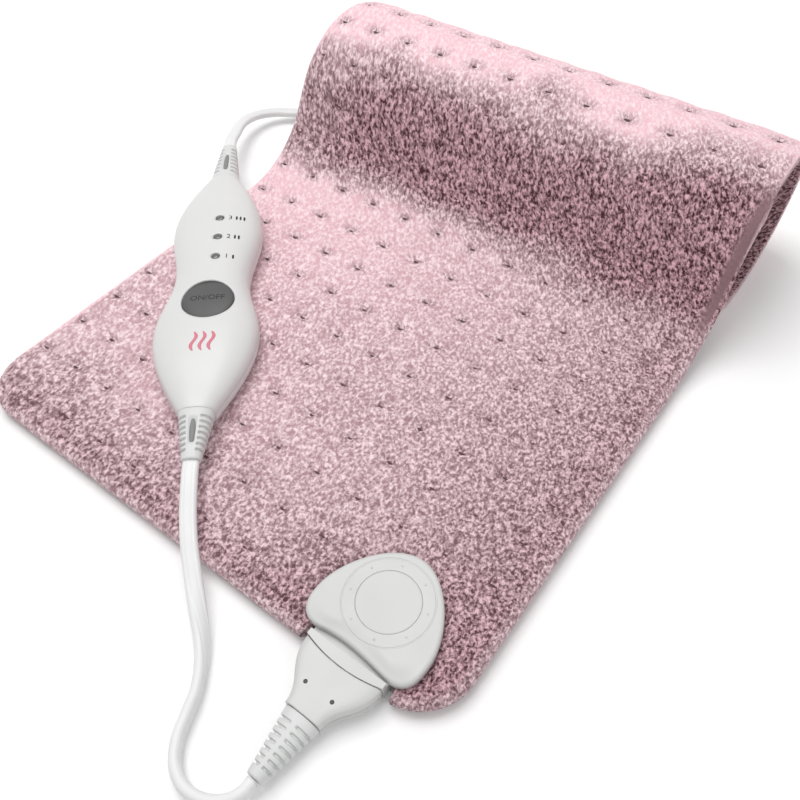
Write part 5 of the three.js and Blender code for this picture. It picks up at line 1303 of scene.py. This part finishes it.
class PAD_OT_stage(bpy.types.Operator):
    """Sets the camera, the pale floor and the soft light"""

    bl_idname = "heating_pad.set_stage"
    bl_label = "Stage"

    def execute(self, context):
        look = context.scene.stage_look
        scene = context.scene
        scene.view_settings.view_transform = "Standard"
        camera = bpy.data.objects.new("camera", bpy.data.cameras.new("camera"))
        scene.collection.objects.link(camera)
        turn = Matrix((CAMERA_RIGHT, CAMERA_UP, CAMERA_BACK)).transposed().to_4x4()
        camera.matrix_world = Matrix.Translation(CAMERA_PLACE) @ turn
        camera.data.lens, camera.data.sensor_width, camera.data.sensor_fit = look.lens, 36, "HORIZONTAL"
        camera.data.clip_start = 0.01
        scene.camera = camera
        self.floor(scene, look)
        self.world(scene, look)
        self.lamp(scene, "key", look.key, KEY_SIZE, KEY_PLACE)
        self.lamp(scene, "fill", look.key * FILL_SHARE, FILL_SIZE, FILL_PLACE)
        return {"FINISHED"}

    def floor(self, scene, look):
        """A wide flat floor with a faint paper tooth, drawn coarse so that it shows. To the eye it glows a
        little, and more away from the pad, so that it is white wherever no shadow falls."""
        grit, near, far, near_glow, far_glow = 3, 0.45, 1.6, 0.045, 0.7
        material, tree, place = started("matt white paper")
        tooth = node(tree, "ShaderNodeTexNoise", {"Vector": place, "Scale": 1000 / grit, "Detail": 2.0})
        bump = node(tree, "ShaderNodeBump", {"Strength": 0.05, "Distance": 0.0002,
                                             "Height": tooth.outputs[0]})
        matt = node(tree, "ShaderNodeBsdfDiffuse", {"Color": rgba(look.floor), "Normal": bump.outputs[0]})
        away = node(tree, "ShaderNodeVectorMath", {0: place}, operation="LENGTH").outputs["Value"]
        faint = node(tree, "ShaderNodeMapRange", {0: away, 1: near, 2: far, 3: near_glow, 4: far_glow})
        glow = node(tree, "ShaderNodeEmission", {"Color": (1, 1, 1, 1),
                                                 "Strength": self.seen(tree, faint.outputs[0])})
        both = node(tree, "ShaderNodeAddShader", {0: matt.outputs[0], 1: glow.outputs[0]})
        node(tree, "ShaderNodeOutputMaterial", {"Surface": both.outputs[0]})
        side = np.linspace(-FLOOR_HALF, FLOOR_HALF, 5)
        points = np.stack([*np.meshgrid(side, side), np.full((5, 5), FLOOR_Z)], -1)
        mesh = bpy.data.meshes.new("floor")
        mesh.from_pydata(points.reshape(-1, 3).tolist(), [], quads(5, 5).tolist())
        mesh.materials.append(material)
        floor = bpy.data.objects.new("floor", mesh)
        scene.collection.objects.link(floor)

    def seen(self, tree, strength):
        """A strength for rays from the eye, in mirrors and through glass, and nought for light."""
        rays = node(tree, "ShaderNodeLightPath").outputs
        eye = rays["Is Camera Ray"]
        for other in ("Is Glossy Ray", "Is Transmission Ray"):
            eye = node(tree, "ShaderNodeMath", {0: eye, 1: rays[other]}, operation="MAXIMUM").outputs[0]
        return node(tree, "ShaderNodeMath", {0: eye, 1: strength}, operation="MULTIPLY").outputs[0]

    def world(self, scene, look):
        """White to the eye, and an even ambient light."""
        world = bpy.data.worlds.new("studio")
        scene.world = world
        world.use_nodes = True
        tree = world.node_tree
        tree.nodes.clear()
        white = self.seen(tree, 1 - look.ambient)
        strength = node(tree, "ShaderNodeMath", {0: white, 1: look.ambient}, operation="ADD")
        sky = node(tree, "ShaderNodeBackground", {"Color": (1, 1, 1, 1), "Strength": strength.outputs[0]})
        node(tree, "ShaderNodeOutputWorld", {"Surface": sky.outputs[0]})

    def lamp(self, scene, name, power, size, place):
        """A square soft lamp that faces the pad's middle."""
        light = bpy.data.lights.new(name, "AREA")
        light.energy, light.size = power, size
        obj = bpy.data.objects.new(name, light)
        scene.collection.objects.link(obj)
        turn = (Vector(place) - Vector(LAMP_AIM)).to_track_quat("Z", "Y")
        obj.matrix_world = Matrix.Translation(place) @ turn.to_matrix().to_4x4()


class PAD_PT_panel(bpy.types.Panel):
    """Lists the settings and the steps that make the dressed pad"""

    bl_idname = "PAD_PT_panel"
    bl_label = "Heating pad"
    bl_space_type = "VIEW_3D"
    bl_region_type = "UI"
    bl_category = "Heating pad"

    def draw(self, context):
        for name, group in SETTINGS.items():
            box = self.layout.box()
            look = getattr(context.scene, name)
            for setting in group.__annotations__:
                box.prop(look, setting)
        for step in STEPS:
            self.layout.operator(step.bl_idname)


STEPS = (PAD_OT_stage, PAD_OT_plug, PAD_OT_cords, PAD_OT_pad, PAD_OT_tufts, PAD_OT_case, PAD_OT_button,
         PAD_OT_print, PAD_OT_reliefs, PAD_OT_socket, PAD_OT_connector, PAD_OT_inner)
CLASSES = (*SETTINGS.values(), *STEPS, PAD_PT_panel)


def register():
    """Makes the settings, the steps and the panel known."""
    for made in CLASSES:
        bpy.utils.register_class(made)
    for name, group in SETTINGS.items():
        setattr(bpy.types.Scene, name, PointerProperty(type=group))


def unregister():
    """Takes them away again."""
    for name in SETTINGS:
        delattr(bpy.types.Scene, name)
    for made in reversed(CLASSES):
        bpy.utils.unregister_class(made)


def main():
    """Makes every piece in order."""
    register()
    bpy.ops.heating_pad.set_stage()
    bpy.ops.heating_pad.mould_plug()
    bpy.ops.heating_pad.lay_cords()
    bpy.ops.heating_pad.sew_pad()
    bpy.ops.heating_pad.tie_tufts()
    bpy.ops.heating_pad.mould_case()
    bpy.ops.heating_pad.fit_button()
    bpy.ops.heating_pad.print_marks()
    bpy.ops.heating_pad.mould_reliefs()
    bpy.ops.heating_pad.mould_socket()
    bpy.ops.heating_pad.mould_connector()
    bpy.ops.heating_pad.finish_inner_parts()


if __name__ == "__main__":
    main()
